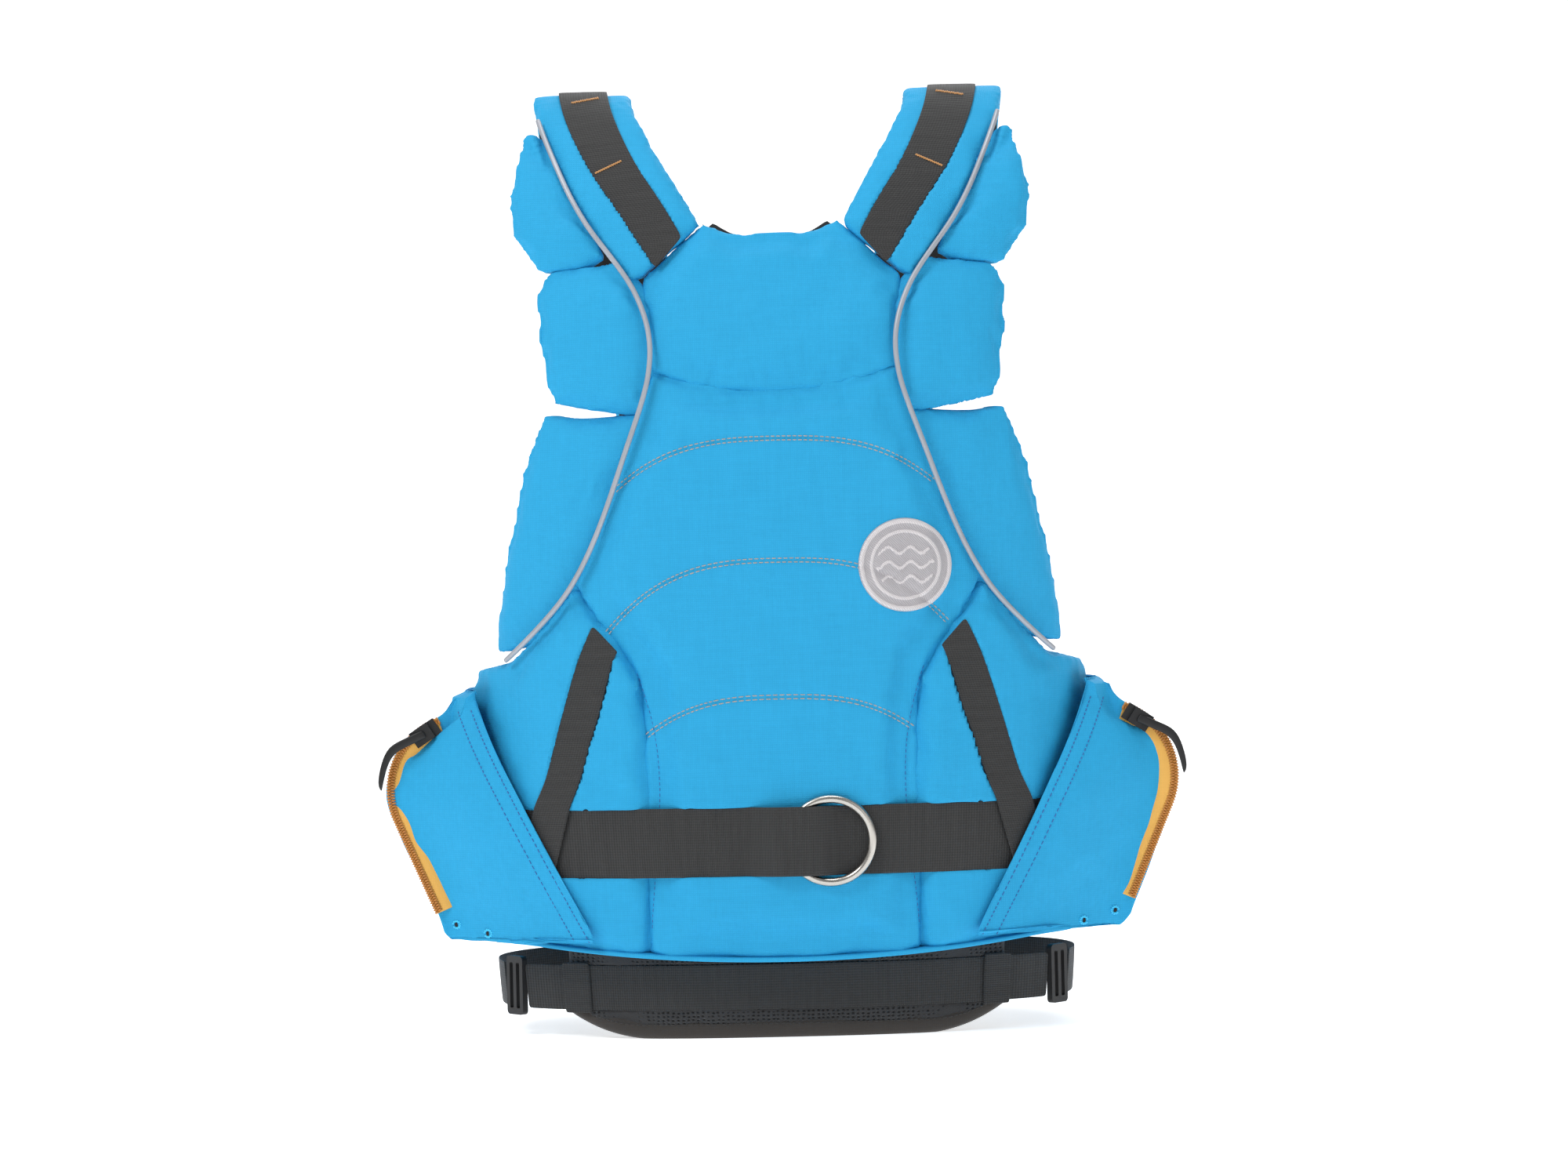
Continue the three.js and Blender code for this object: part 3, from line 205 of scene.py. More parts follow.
def woven(tree, at, spacing, value, depth, axes=("X", "Z"), spread=0.16, crumple=0.0):
    """Plain weave: two sets of threads, uneven yarn, soft blotches, and an optional crumple."""
    warp = threads(tree, at, spacing, axes[0], 1.6)
    weft = threads(tree, at, spacing * 1.15, axes[1], 1.6)
    cloth = maths(tree, "MULTIPLY", warp, weft)
    stretch = add_node(tree, "ShaderNodeMapping", {"Scale": (1, 1, 0.07)}, {"Vector": at})
    slub = add_node(tree, "ShaderNodeTexNoise", {"Scale": 420.0, "Detail": 2.0}, {"Vector": stretch.outputs[0]})
    flat = add_node(tree, "ShaderNodeMapping", {"Scale": (0.07, 1, 1)}, {"Vector": at})
    slub_across = add_node(tree, "ShaderNodeTexNoise", {"Scale": 420.0, "Detail": 2.0}, {"Vector": flat.outputs[0]})
    yarn = maths(tree, "ADD", maths(tree, "MULTIPLY", slub.outputs["Fac"], 0.5),
                 maths(tree, "MULTIPLY", slub_across.outputs["Fac"], 0.5))
    blotch = add_node(tree, "ShaderNodeTexNoise", {"Scale": 14.0, "Detail": 3.0}, {"Vector": at})
    tone = maths(tree, "ADD", maths(tree, "MULTIPLY", cloth, 0.34),
                 maths(tree, "ADD", maths(tree, "MULTIPLY", yarn, 0.5),
                       maths(tree, "MULTIPLY", blotch.outputs["Fac"], 0.16)))
    bump = add_node(tree, "ShaderNodeBump", {"Strength": 0.55, "Distance": depth},
                    {"Height": maths(tree, "ADD", cloth, yarn)})
    if crumple:
        fold = add_node(tree, "ShaderNodeTexNoise", {"Scale": 26.0, "Detail": 4.0, "Roughness": 0.45,
                        "Distortion": 0.6}, {"Vector": at})
        bump = add_node(tree, "ShaderNodeBump", {"Strength": 1.0, "Distance": crumple},
                        {"Height": fold.outputs["Fac"], "Normal": bump.outputs[0]})
    rough = add_node(tree, "ShaderNodeMapRange", {"To Min": 0.84, "To Max": 0.66}, {"Value": tone})
    return {"Base Color": blend_colours(tree, tone, shade(value, 1 - spread), shade(value, 1 + spread)),
            "Roughness": rough.outputs[0], "Normal": bump.outputs[0]}


def object_at(tree):
    """Object coordinates, in metres."""
    return add_node(tree, "ShaderNodeTexCoord").outputs["Object"]


def strip_at(tree):
    """Metres along and across a strip, from its UV map."""
    return add_node(tree, "ShaderNodeTexCoord").outputs["UV"]


def cloth():
    return bpy.context.scene.vest_cloth


def nylon():
    """500-denier plain-woven nylon, piece dyed and coated inside: matt, with a soft bloom at grazing light.
    Real threads are 0.5 mm apart; they are drawn at 1.3 mm so that the weave shows."""
    value = tuple(cloth().nylon)
    return surface("nylon_500d_plain_weave", {"Sheen Weight": 0.18, "Sheen Roughness": 0.45,
                   "Sheen Tint": shade(value, 1.5), "IOR": 1.53, "Specular IOR Level": 0.28},
                   lambda tree: woven(tree, object_at(tree), cloth().thread_gap, value, 0.00026, crumple=0.0026))


def lining():
    """Coated 210-denier nylon: a finer, flatter weave than the shell, with a dull shine."""
    value = tuple(cloth().lining)
    return surface("nylon_210d_lining", {"Sheen Weight": 0.05, "IOR": 1.53, "Specular IOR Level": 0.3},
                   lambda tree: woven(tree, object_at(tree), cloth().thread_gap * 0.8, value, 0.00012,
                                      spread=0.3, crumple=0.0012))


def webbing():
    """Plain-woven polyester webbing: heavy weft ribs across, fine warp threads along, matt and slightly dusty.
    Real ribs are about 1 mm apart and are drawn half as coarse again."""
    value = tuple(bpy.context.scene.vest_webbing.webbing)
    rib = bpy.context.scene.vest_webbing.rib

    def detail(tree):
        at = strip_at(tree)
        ribs = threads(tree, at, rib, "X", 0.5)
        warp = threads(tree, at, rib * 1.2, "Y", 0.5)
        fuzz = add_node(tree, "ShaderNodeTexNoise", {"Scale": 900.0, "Detail": 2.0}, {"Vector": at})
        long = add_node(tree, "ShaderNodeMapping", {"Scale": (1, 0.06, 1)}, {"Vector": at})
        streak = add_node(tree, "ShaderNodeTexNoise", {"Scale": 260.0, "Detail": 2.0}, {"Vector": long.outputs[0]})
        weave = maths(tree, "ADD", maths(tree, "MULTIPLY", ribs, 0.6), maths(tree, "MULTIPLY", warp, 0.4))
        tone = maths(tree, "ADD", maths(tree, "MULTIPLY", weave, 0.5), maths(tree, "ADD",
                     maths(tree, "MULTIPLY", streak.outputs["Fac"], 0.38),
                     maths(tree, "MULTIPLY", fuzz.outputs["Fac"], 0.18)))
        bump = add_node(tree, "ShaderNodeBump", {"Strength": 0.8, "Distance": 0.0004}, {"Height": weave})
        rough = add_node(tree, "ShaderNodeMapRange", {"To Min": 0.9, "To Max": 0.62}, {"Value": tone})
        return {"Base Color": blend_colours(tree, tone, shade(value, 0.42), shade(value, 1.75)),
                "Roughness": rough.outputs[0], "Normal": bump.outputs[0]}
    return surface("polyester_webbing_woven", {"Sheen Weight": 0.12, "Sheen Roughness": 0.5, "IOR": 1.57,
                   "Specular IOR Level": 0.3}, detail)


def spacer_mesh():
    """Knitted polyester spacer mesh: round holes about 3.5 mm apart in a fuzzy matt face, the holes painted near
    black as painted shade.
    """
    value = tuple(cloth().mesh)

    def detail(tree):
        at = add_node(tree, "ShaderNodeMapping", {"Scale": (1.0, 0.2, 1.35)}, {"Vector": object_at(tree)})
        cell = add_node(tree, "ShaderNodeTexVoronoi", {"Scale": 290.0, "Randomness": 0.25},
                        {"Vector": at.outputs[0]})
        hole_depth_and_shade = add_node(tree, "ShaderNodeMapRange", {"From Min": 0.18, "From Max": 0.42},
                        {"Value": cell.outputs["Distance"]})
        fuzz = add_node(tree, "ShaderNodeTexNoise", {"Scale": 1200.0}, {"Vector": at.outputs[0]})
        height = maths(tree, "ADD", hole_depth_and_shade.outputs[0], maths(tree, "MULTIPLY", fuzz.outputs["Fac"], 0.4))
        bump = add_node(tree, "ShaderNodeBump", {"Strength": 1.0, "Distance": 0.0011}, {"Height": height})
        # Painted shade: the holes are coloured near black for the shadow inside them, and the face between them is
        # lighter.
        return {"Base Color": blend_colours(tree, hole_depth_and_shade.outputs[0], shade(value, 0.12), shade(value, 1.4)),
                "Normal": bump.outputs[0]}
    return surface("polyester_spacer_mesh", {"Roughness": 0.9, "Sheen Weight": 0.15, "IOR": 1.57,
                   "Specular IOR Level": 0.25}, detail)


def edge_tape():
    """Brushed polyester binding tape, folded over the pad's edge: soft, matt and a little brown."""
    value = tuple(cloth().tape)
    return surface("polyester_binding_tape", {"Sheen Weight": 0.2, "Sheen Roughness": 0.6, "IOR": 1.57,
                   "Specular IOR Level": 0.2},
                   lambda tree: woven(tree, object_at(tree), 0.0009, value, 0.00015, spread=0.2, crumple=0.0007))


def reflective():
    """Glass-bead reflective piping: a satin grey skin, a little brighter where it has rubbed."""
    value = tuple(cloth().piping)

    def detail(tree):
        grain = add_node(tree, "ShaderNodeTexNoise", {"Scale": 1500.0}, {"Vector": object_at(tree)})
        wear = add_node(tree, "ShaderNodeTexNoise", {"Scale": 35.0, "Detail": 3.0}, {"Vector": object_at(tree)})
        bump = add_node(tree, "ShaderNodeBump", {"Strength": 0.3, "Distance": 0.0001},
                        {"Height": grain.outputs["Fac"]})
        return {"Base Color": blend_colours(tree, wear.outputs["Fac"], shade(value, 0.72), shade(value, 1.15)),
                "Normal": bump.outputs[0]}
    return surface("glass_bead_reflective_tape", {"Metallic": 0.25, "Roughness": 0.42}, detail)


def thread(name, value):
    """Bonded polyester sewing thread: twisted, with a slight lustre."""
    def detail(tree):
        ply = threads(tree, object_at(tree), 0.0008, "DIAGONAL", 0.3)
        bump = add_node(tree, "ShaderNodeBump", {"Strength": 0.5, "Distance": 0.0001}, {"Height": ply})
        return {"Base Color": blend_colours(tree, ply, shade(value, 0.8), shade(value, 1.1)),
                "Normal": bump.outputs[0]}
    return surface(f"bonded_thread_{name}", {"Roughness": 0.55, "Sheen Weight": 0.1, "IOR": 1.57}, detail)


def acetal():
    """Black acetal, injection moulded with a fine spark-eroded grain: satin, with soft highlights on its edges."""
    value = tuple(bpy.context.scene.vest_fittings.acetal)

    def detail(tree):
        grain = add_node(tree, "ShaderNodeTexNoise", {"Scale": 2200.0, "Detail": 2.0},
                         {"Vector": object_at(tree)})
        scuff = add_node(tree, "ShaderNodeTexNoise", {"Scale": 120.0, "Detail": 5.0}, {"Vector": object_at(tree)})
        bump = add_node(tree, "ShaderNodeBump", {"Strength": 0.25, "Distance": 0.0001},
                        {"Height": grain.outputs["Fac"]})
        rough = add_node(tree, "ShaderNodeMapRange", {"To Min": 0.36, "To Max": 0.52},
                         {"Value": scuff.outputs["Fac"]})
        return {"Base Color": blend_colours(tree, scuff.outputs["Fac"], shade(value, 0.8), shade(value, 1.5)),
                "Roughness": rough.outputs[0], "Normal": bump.outputs[0]}
    return surface("acetal_moulded_black", {"IOR": 1.48, "Specular IOR Level": 0.45}, detail)


def steel():
    """Stainless steel bar, bent, welded and tumbled: a fine satin grain."""
    value = tuple(bpy.context.scene.vest_fittings.steel)

    def detail(tree):
        at = object_at(tree)
        grain = add_node(tree, "ShaderNodeTexNoise", {"Scale": 700.0, "Detail": 4.0}, {"Vector": at})
        cloud = add_node(tree, "ShaderNodeTexNoise", {"Scale": 60.0, "Detail": 2.0}, {"Vector": at})
        bump = add_node(tree, "ShaderNodeBump", {"Strength": 0.12, "Distance": 0.0001},
                        {"Height": grain.outputs["Fac"]})
        rough = add_node(tree, "ShaderNodeMapRange", {"To Min": 0.2, "To Max": 0.36},
                         {"Value": cloud.outputs["Fac"]})
        return {"Base Color": blend_colours(tree, cloud.outputs["Fac"], shade(value, 0.86), shade(value, 1.08)),
                "Roughness": rough.outputs[0], "Normal": bump.outputs[0]}
    return surface("stainless_steel_tumbled", {"Metallic": 1.0}, detail)


def embroidery(name, value):
    """Rayon satin stitch: close parallel threads with a silky shine."""
    def detail(tree):
        row = threads(tree, object_at(tree), 0.0009, "DIAGONAL", 0.8)
        bump = add_node(tree, "ShaderNodeBump", {"Strength": 0.8, "Distance": 0.0003}, {"Height": row})
        return {"Base Color": blend_colours(tree, row, shade(value, 0.86), shade(value, 1.06)),
                "Normal": bump.outputs[0]}
    return surface(f"rayon_satin_stitch_{name}", {"Roughness": 0.5, "Sheen Weight": 0.2, "IOR": 1.5}, detail)


def zip_coil():
    """Nylon zip coil, dyed ochre and smooth from its mould."""
    value = tuple(bpy.context.scene.vest_fittings.coil)

    def detail(tree):
        tint = add_node(tree, "ShaderNodeTexNoise", {"Scale": 300.0}, {"Vector": object_at(tree)})
        return {"Base Color": blend_colours(tree, tint.outputs["Fac"], shade(value, 0.75), shade(value, 1.2))}
    return surface("nylon_zip_coil", {"Roughness": 0.38, "IOR": 1.53}, detail)


def zip_tape():
    """Knitted polyester zip tape: soft and matt."""
    value = tuple(bpy.context.scene.vest_fittings.zip_tape)
    return surface("polyester_zip_tape", {"Sheen Weight": 0.2, "IOR": 1.57, "Specular IOR Level": 0.25},
                   lambda tree: woven(tree, object_at(tree), 0.0009, value, 0.00015, spread=0.1))


def studio():
    """Matt white painted board."""
    def detail(tree):
        mottle = add_node(tree, "ShaderNodeTexNoise", {"Scale": 3.0}, {"Vector": object_at(tree)})
        return {"Base Color": blend_colours(tree, mottle.outputs["Fac"], linear("F4F4F4"), linear("FAFAFA"))}
    return surface("painted_board_white", {"Roughness": 0.9, "Specular IOR Level": 0.1,
                   "Emission Color": linear("FFFFFF"), "Emission Strength": 0.62}, detail)


# ------------------------------------------------------------------ shapes

def add_piece(name, mesh, materials, body="vest", replaces=()):
    """A new object from a bmesh, riding on a body and standing for CAD nodes."""
    data = bpy.data.meshes.new(name)
    mesh.to_mesh(data)
    mesh.free()
    piece = bpy.data.objects.new(name, data)
    bpy.context.scene.collection.objects.link(piece)
    for material in materials if isinstance(materials, (list, tuple)) else [materials]:
        data.materials.append(material)
    return dress(piece, body, replaces)


def dress(piece, body, replaces):
    """Smooth shading, then what the piece rides on and stands for."""
    piece.data.polygons.foreach_set("use_smooth", [True] * len(piece.data.polygons))
    if body:
        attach(piece, body)
    if replaces:
        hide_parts(*replaces)
    return piece


def joined(nodes):
    """One bmesh holding the meshes of some CAD nodes, corners merged."""
    mesh = bmesh.new()
    for name in nodes:
        mesh.from_mesh(frame["nodes"][name].data)
    bmesh.ops.remove_doubles(mesh, verts=mesh.verts, dist=1e-5)
    return mesh


def bake(piece):
    """Applies every modifier to the piece's mesh."""
    graph = bpy.context.evaluated_depsgraph_get()
    data = bpy.data.meshes.new_from_object(piece.evaluated_get(graph), depsgraph=graph)
    old = piece.data
    piece.modifiers.clear()
    piece.data = data
    bpy.data.meshes.remove(old)
    data.polygons.foreach_set("use_smooth", [True] * len(data.polygons))


def modify(piece, *steps):
    """Adds modifiers, each given as its type and settings, and applies them."""
    for kind, settings in steps:
        modifier = piece.modifiers.new(kind.title(), kind)
        for key, value in settings.items():
            setattr(modifier, key, value)
    bake(piece)


def points_of(data):
    """A mesh's vertices as rows of numbers."""
    flat = np.empty(len(data.vertices) * 3)
    data.vertices.foreach_get("co", flat)
    return flat.reshape(-1, 3)


def put_points(data, points):
    """Writes rows of numbers back to a mesh's vertices."""
    data.vertices.foreach_set("co", np.asarray(points, dtype=np.float32).ravel())
    data.update()


TORSO_BEND = 1.6  # a torso of power 2.6 turns by this power across its front
CROWN = 0.12  # rise of the shoulders over the dome's foot
LOOKS_OUT = 0.62  # a cover's outer face looks off the body at least this squarely
LOOKS_IN = -0.55  # a panel's lined side looks at the body at least this squarely


def off_body(points):
    """The direction off the wearer's body at each of some points."""
    points = np.atleast_2d(points)
    y = points[:, 1] - AXIS_Y
    across = np.sign(points[:, 0]) * (np.abs(points[:, 0]) / HALF_WIDTH) ** TORSO_BEND / HALF_WIDTH
    ahead = np.sign(y) * (np.abs(y) / HALF_DEPTH) ** TORSO_BEND / HALF_DEPTH
    round_torso = np.stack([across, ahead, np.zeros(len(y))], axis=1)
    over = np.stack([points[:, 0] * 4, y / HALF_DEPTH ** 2, (points[:, 2] - DOME) / CROWN ** 2], axis=1)
    out = np.where(points[:, 2:] > DOME, over, round_torso)
    return out / np.maximum(np.linalg.norm(out, axis=1, keepdims=True), 1e-9)


def outer_face(piece):
    """A mesh's points and normals, and how squarely each point faces off the body."""
    points = points_of(piece.data)
    normals = np.empty(len(points) * 3)
    piece.data.vertex_normals.foreach_get("vector", normals)
    normals = normals.reshape(-1, 3)
    return points, normals, (normals * off_body(points)).sum(axis=1)


def swell(piece, cap, pressure=4.0, spare=0.025):
    """Blows a closed cloth up for 20 frames, then lets only its outer face move, and by at most cap."""
    rest, normals, facing = outer_face(piece)
    modifier = piece.modifiers.new("Cloth", "CLOTH")
    settings = modifier.settings
    settings.quality = 4
    settings.mass = 0.3
    settings.tension_stiffness = settings.compression_stiffness = 15
    settings.bending_stiffness = 0.4
    settings.use_pressure = True
    settings.uniform_pressure_force = pressure
    settings.shrink_min = -spare
    settings.effector_weights.gravity = 0
    modifier.collision_settings.use_collision = False
    modifier.point_cache.frame_start = 1
    modifier.point_cache.frame_end = 20
    for at in range(1, 21):
        bpy.context.scene.frame_set(at)
    bake(piece)
    along = ((points_of(piece.data) - rest) * normals).sum(axis=1)
    along -= np.median(along[facing > 0.6]) * 0.6
    share = np.clip((facing - 0.2) / 0.5, 0, 1)
    put_points(piece.data, rest + normals * (np.clip(along, -cap * 0.5, cap) * share)[:, None])
    bpy.context.scene.frame_set(1)


def press_seams(piece, seams, depth=0.0016, amount=0.0016, reach=0.013, front=False):
    """Draws the outer face in along seams, and puckers the cloth beside them."""
    spots = [p for seam in seams for p in seam]
    tree = KDTree(len(spots))
    for i, (x, z) in enumerate(spots):
        tree.insert((x, 0, z), i)
    tree.balance()
    points, normals, facing = outer_face(piece)
    rise = np.zeros(len(points))
    for i in np.nonzero((facing > 0.3) & ((points[:, 1] > AXIS_Y) == front))[0]:
        _, index, gap = tree.find((points[i, 0], 0, points[i, 2]))
        if gap > reach * 4:
            continue
        groove = math.exp(-(gap / 0.0028) ** 2)
        ripple = noise.noise((index * 0.16, gap * 30, 3.1)) + 0.5 * noise.noise((index * 0.37, gap * 60, 8.4))
        rise[i] = -depth * groove + amount * ripple * math.exp(-gap / reach) * (1 - groove)
    put_points(piece.data, points + normals * rise[:, None])


def hold_down(piece, nodes, gap=0.0007, depth=0.02):
    """Presses a panel's outer face in where webbing or another sewn piece lies over it."""
    over = joined(nodes)
    bmesh.ops.triangulate(over, faces=over.faces)
    tree = BVHTree.FromBMesh(over)
    over.free()
    points, _, facing = outer_face(piece)
    outs = off_body(points)
    for i in np.nonzero(facing > 0.1)[0]:
        out = Vector(outs[i])
        start = Vector(points[i]) - out * depth
        _, _, _, reach = tree.ray_cast(start, out, depth + 0.01)
        if reach is not None and reach - gap < depth:
            points[i] += outs[i] * (reach - gap - depth)
    put_points(piece.data, points)


def undulate(piece, amount, scale=14.0, seed=0.0):
    """Slow hollows and swells on the outer face, as in handled cloth."""
    points, normals, facing = outer_face(piece)
    rise = np.array([noise.noise(p) for p in points * scale + seed]) * amount * (facing > 0.2)
    put_points(piece.data, points + normals * rise[:, None])


def line_inside(piece):
    """Gives the faces towards the wearer the second material."""
    count = len(piece.data.polygons)
    centres, normals = np.empty(count * 3), np.empty(count * 3)
    piece.data.polygons.foreach_get("center", centres)
    piece.data.polygons.foreach_get("normal", normals)
    facing = (normals.reshape(-1, 3) * off_body(centres.reshape(-1, 3))).sum(axis=1)
    piece.data.polygons.foreach_set("material_index", (facing < LOOKS_IN).astype(np.int32))


WING_SEAM = 0.005  # the sewn edge of a wing, and how far it is thickened
WING_ROOT = 0.012  # a wing bends over this strip
WING_SPREAD = 0.055  # a wing widens towards its seam from here
# where each wing meets its neighbours at the seam: the level of its lower and its upper end
WING_MEETS = {"upper": (0.531, None), "middle": (0.429, 0.534), "lower": (None, 0.432)}


def backed(mesh, thick, spread=0.0035):
    """Keeps the face of a cover that looks off the body, and gives it a panel's thickness towards the body."""
    mesh.normal_update()
    inner = [f for f in mesh.faces if np.dot(f.normal, off_body(f.calc_center_median())[0]) < LOOKS_OUT]
    bmesh.ops.delete(mesh, geom=inner, context="FACES")
    bmesh.ops.remove_doubles(mesh, verts=mesh.verts[:], dist=1e-5)
    for edge in [e for e in mesh.edges if e.is_boundary]:
        out = edge.link_faces[0].normal.cross(edge.verts[1].co - edge.verts[0].co).normalized()
        if out.dot(edge.verts[0].co - edge.link_faces[0].calc_center_median()) < 0:
            out = -out
        for v in edge.verts:
            v.co += out * spread * 0.5
    bmesh.ops.solidify(mesh, geom=mesh.faces[:], thickness=thick)
    bmesh.ops.recalc_face_normals(mesh, faces=mesh.faces)
    return mesh


def padded_panel(name, nodes, body="vest", voxel=None, cap=None, lined=True, fill=0.7, seed=0.0, soft=4,
                 mesh=None):
    """Foam in a nylon shell: a closed solid remeshed, rounded, and swollen as cloth."""
    piece = add_piece(name, mesh or joined(nodes), [nylon(), lining()], body, nodes)
    modify(piece, ("REMESH", {"mode": "VOXEL", "voxel_size": voxel or cloth().voxel}),
           ("SMOOTH", {"factor": 0.5, "iterations": soft}))
    swell(piece, cap or cloth().puff)
    modify(piece, ("SUBSURF", {"levels": 1}))
    undulate(piece, 0.0014, seed=seed)
    undulate(piece, 0.0009, scale=46.0, seed=seed + 20)
    if lined:
        line_inside(piece)
    return piece


def panel(name, cover, foams, thick, **settings):
    """A padded panel made from its cover, thickened to the panel's whole depth, and its foam."""
    mesh = backed(joined([cover]), thick)
    for foam in foams:
        mesh.from_mesh(frame["nodes"][foam].data)
    return padded_panel(name, [cover, *foams], mesh=mesh, **settings)


def wing_mesh(node, joint, low, high, tuck=0.006, plump=0.0015):
    """A wing plumped a little, its sewn edge thickened, tucked in under the piping and widened
    until it meets the next wing."""
    mesh = joined([node])
    mesh.normal_update()
    hinge = next(j for j in frame["joints"] if j["name"] == joint)
    start, axis = Vector(hinge["pos_m"]), Vector(hinge["axis"]).normalized()
    middle = sum((v.co for v in mesh.verts), Vector()) / len(mesh.verts)
    away = middle - start
    away = (away - axis * away.dot(axis)).normalized()
    out = Vector(off_body(start)[0])
    arms = {}
    for v in mesh.verts:
        arm = v.co - start
        arms[v] = arm - axis * arm.dot(axis)
    root = [v.co.z for v in mesh.verts if arms[v].length < WING_ROOT]
    bottom, top = min(root), max(root)
    centre = (bottom + top) / 2
    for v in mesh.verts:
        arm = arms[v]
        v.co += v.normal * plump
        share = (v.co.z - centre) / (top - centre)
        near = max(0, 1 - arm.length / WING_SPREAD) ** 1.3
        if share > 0 and high:
            v.co.z += near * min(share, 1) * (high - top)
        if share < 0 and low:
            v.co.z += near * min(-share, 1) * (low - bottom)
        if arm.length < WING_SEAM:
            v.co += out * (WING_SEAM if arm.dot(out) > 0 else -0.002) - away * tuck
    return mesh, start, away


def softened(name, nodes, material, body="vest", radius=0.0004, levels=2):
    """A thin CAD solid with its edges rounded and its facets smoothed."""
    mesh = joined(nodes)
    bmesh.ops.join_triangles(mesh, faces=mesh.faces, angle_face_threshold=0.6, angle_shape_threshold=1.2)
    sharp = [e for e in mesh.edges if len(e.link_faces) == 2 and e.calc_face_angle() > 0.9]
    bmesh.ops.bevel(mesh, geom=sharp, offset=radius, segments=1, affect="EDGES", clamp_overlap=True)
    piece = add_piece(name, mesh, material, body, nodes)
    modify(piece, ("SUBSURF", {"levels": levels}))
    return piece


def weave_along(piece, along, step=0.008):
    """A UV map in metres: along the strip, and across it from its middle line."""
    points = points_of(piece.data)
    travel = np.array([along(Vector(p)) for p in points])
    edges = np.arange(travel.min(), travel.max() + step, step)
    middles = [(edge + step / 2, points[(travel >= edge) & (travel < edge + step)]) for edge in edges[:-1]]
    middles = [(at, group.min(axis=0) / 2 + group.max(axis=0) / 2) for at, group in middles if len(group)]
    ats = np.array([at for at, _ in middles])
    line = np.array([centre for _, centre in middles])
    centre = np.stack([np.interp(travel, ats, line[:, k]) for k in range(3)], axis=1)
    slope = np.gradient(line, ats, axis=0) if len(ats) > 2 else np.tile(line[-1] - line[0], (len(ats), 1))
    way = np.stack([np.interp(travel, ats, slope[:, k]) for k in range(3)], axis=1)
    side = np.cross(way, off_body(points))
    side /= np.maximum(np.linalg.norm(side, axis=1, keepdims=True), 1e-9)
    across = ((points - centre) * side).sum(axis=1)
    layer = piece.data.uv_layers.new(name="weave")
    corners = np.empty(len(piece.data.loops), dtype=np.int32)
    piece.data.loops.foreach_get("vertex_index", corners)
    layer.data.foreach_set("uv", np.stack([travel[corners], across[corners]], axis=1).astype(np.float32).ravel())


def round_waist(point):
    """Metres round the torso."""
    return math.atan2(point.x, AXIS_Y - point.y) * 0.16


def over_shoulder(point):
    """Metres over the shoulder, from the back."""
    return math.atan2(point.z - DOME, AXIS_Y - point.y) * 0.12


def upward(point):
    return point.z


def through(points, at):
    """A smooth curve through a few points, at some inputs."""
    xs, ys = np.array(points, dtype=float).T
    slope = np.gradient(ys, xs)
    i = np.clip(np.searchsorted(xs, at) - 1, 0, len(xs) - 2)
    t = np.clip((at - xs[i]) / (xs[i + 1] - xs[i]), 0, 1)
    run = xs[i + 1] - xs[i]
    return (ys[i] * (1 - t) ** 2 * (1 + 2 * t) + ys[i + 1] * t ** 2 * (3 - 2 * t)
            + run * t * (1 - t) * ((1 - t) * slope[i] - t * slope[i + 1]))


def curve_between(points, count=90, swap=False):
    """(x, z) spots in metres along a curve given in millimetres, as z against x, or x against z when swapped."""
    at = np.linspace(points[0][0], points[-1][0], count)
    value = through(points, at)
    pairs = zip(value, at) if swap else zip(at, value)
    return [(a / 1000, b / 1000) for a, b in pairs]


def mirrored(spots):
    return [(-x, z) for x, z in spots]


def arch(centre, edge_x, edge_z):
    """A row of topstitching that is flat in the middle and falls at both ends."""
    xs = np.linspace(-edge_x, edge_x, 120)
    fall = (np.abs(xs) / edge_x) ** 2.9
    return [(x / 1000, (centre + (edge_z - centre) * f) / 1000) for x, f in zip(xs, fall)]


PIPING_LINE = curve_between([(262, 192), (275, 177), (296, 156), (313, 142), (349, 123), (415, 98.5), (452, 86),
                             (480, 83.5), (498, 87), (523, 98), (559, 124), (582, 137), (630, 157)], swap=True)
PRINCESS_LINE = curve_between([(62, 94), (235, 94), (258, 102), (279, 117), (313, 142)], swap=True)
YOKE_LINE = arch(444, 84, 460)
ARCHES = [arch(412, 110, 379), arch(329, 117.6, 282), arch(236, 92, 211)]


def skin_of(names):
    """A search tree over the finished surface of some pieces."""
    corners, faces = [], []
    for name in names:
        piece = bpy.data.objects[name]
        start = len(corners)
        corners += [v.co.copy() for v in piece.data.vertices]
        faces += [[start + i for i in face.vertices] for face in piece.data.polygons]
    return BVHTree.FromPolygons(corners, faces)


def lay_on(skin, x, z, lift, front=False):
    """A point on the vest behind or before a spot, lifted off it, with its normal."""
    start = Vector((x, 1.0 if front else -1.0, z))
    spot, normal, _, _ = skin.ray_cast(start, Vector((0, -1.0 if front else 1.0, 0)))
    if spot is None:
        return None
    return spot + normal * lift, normal


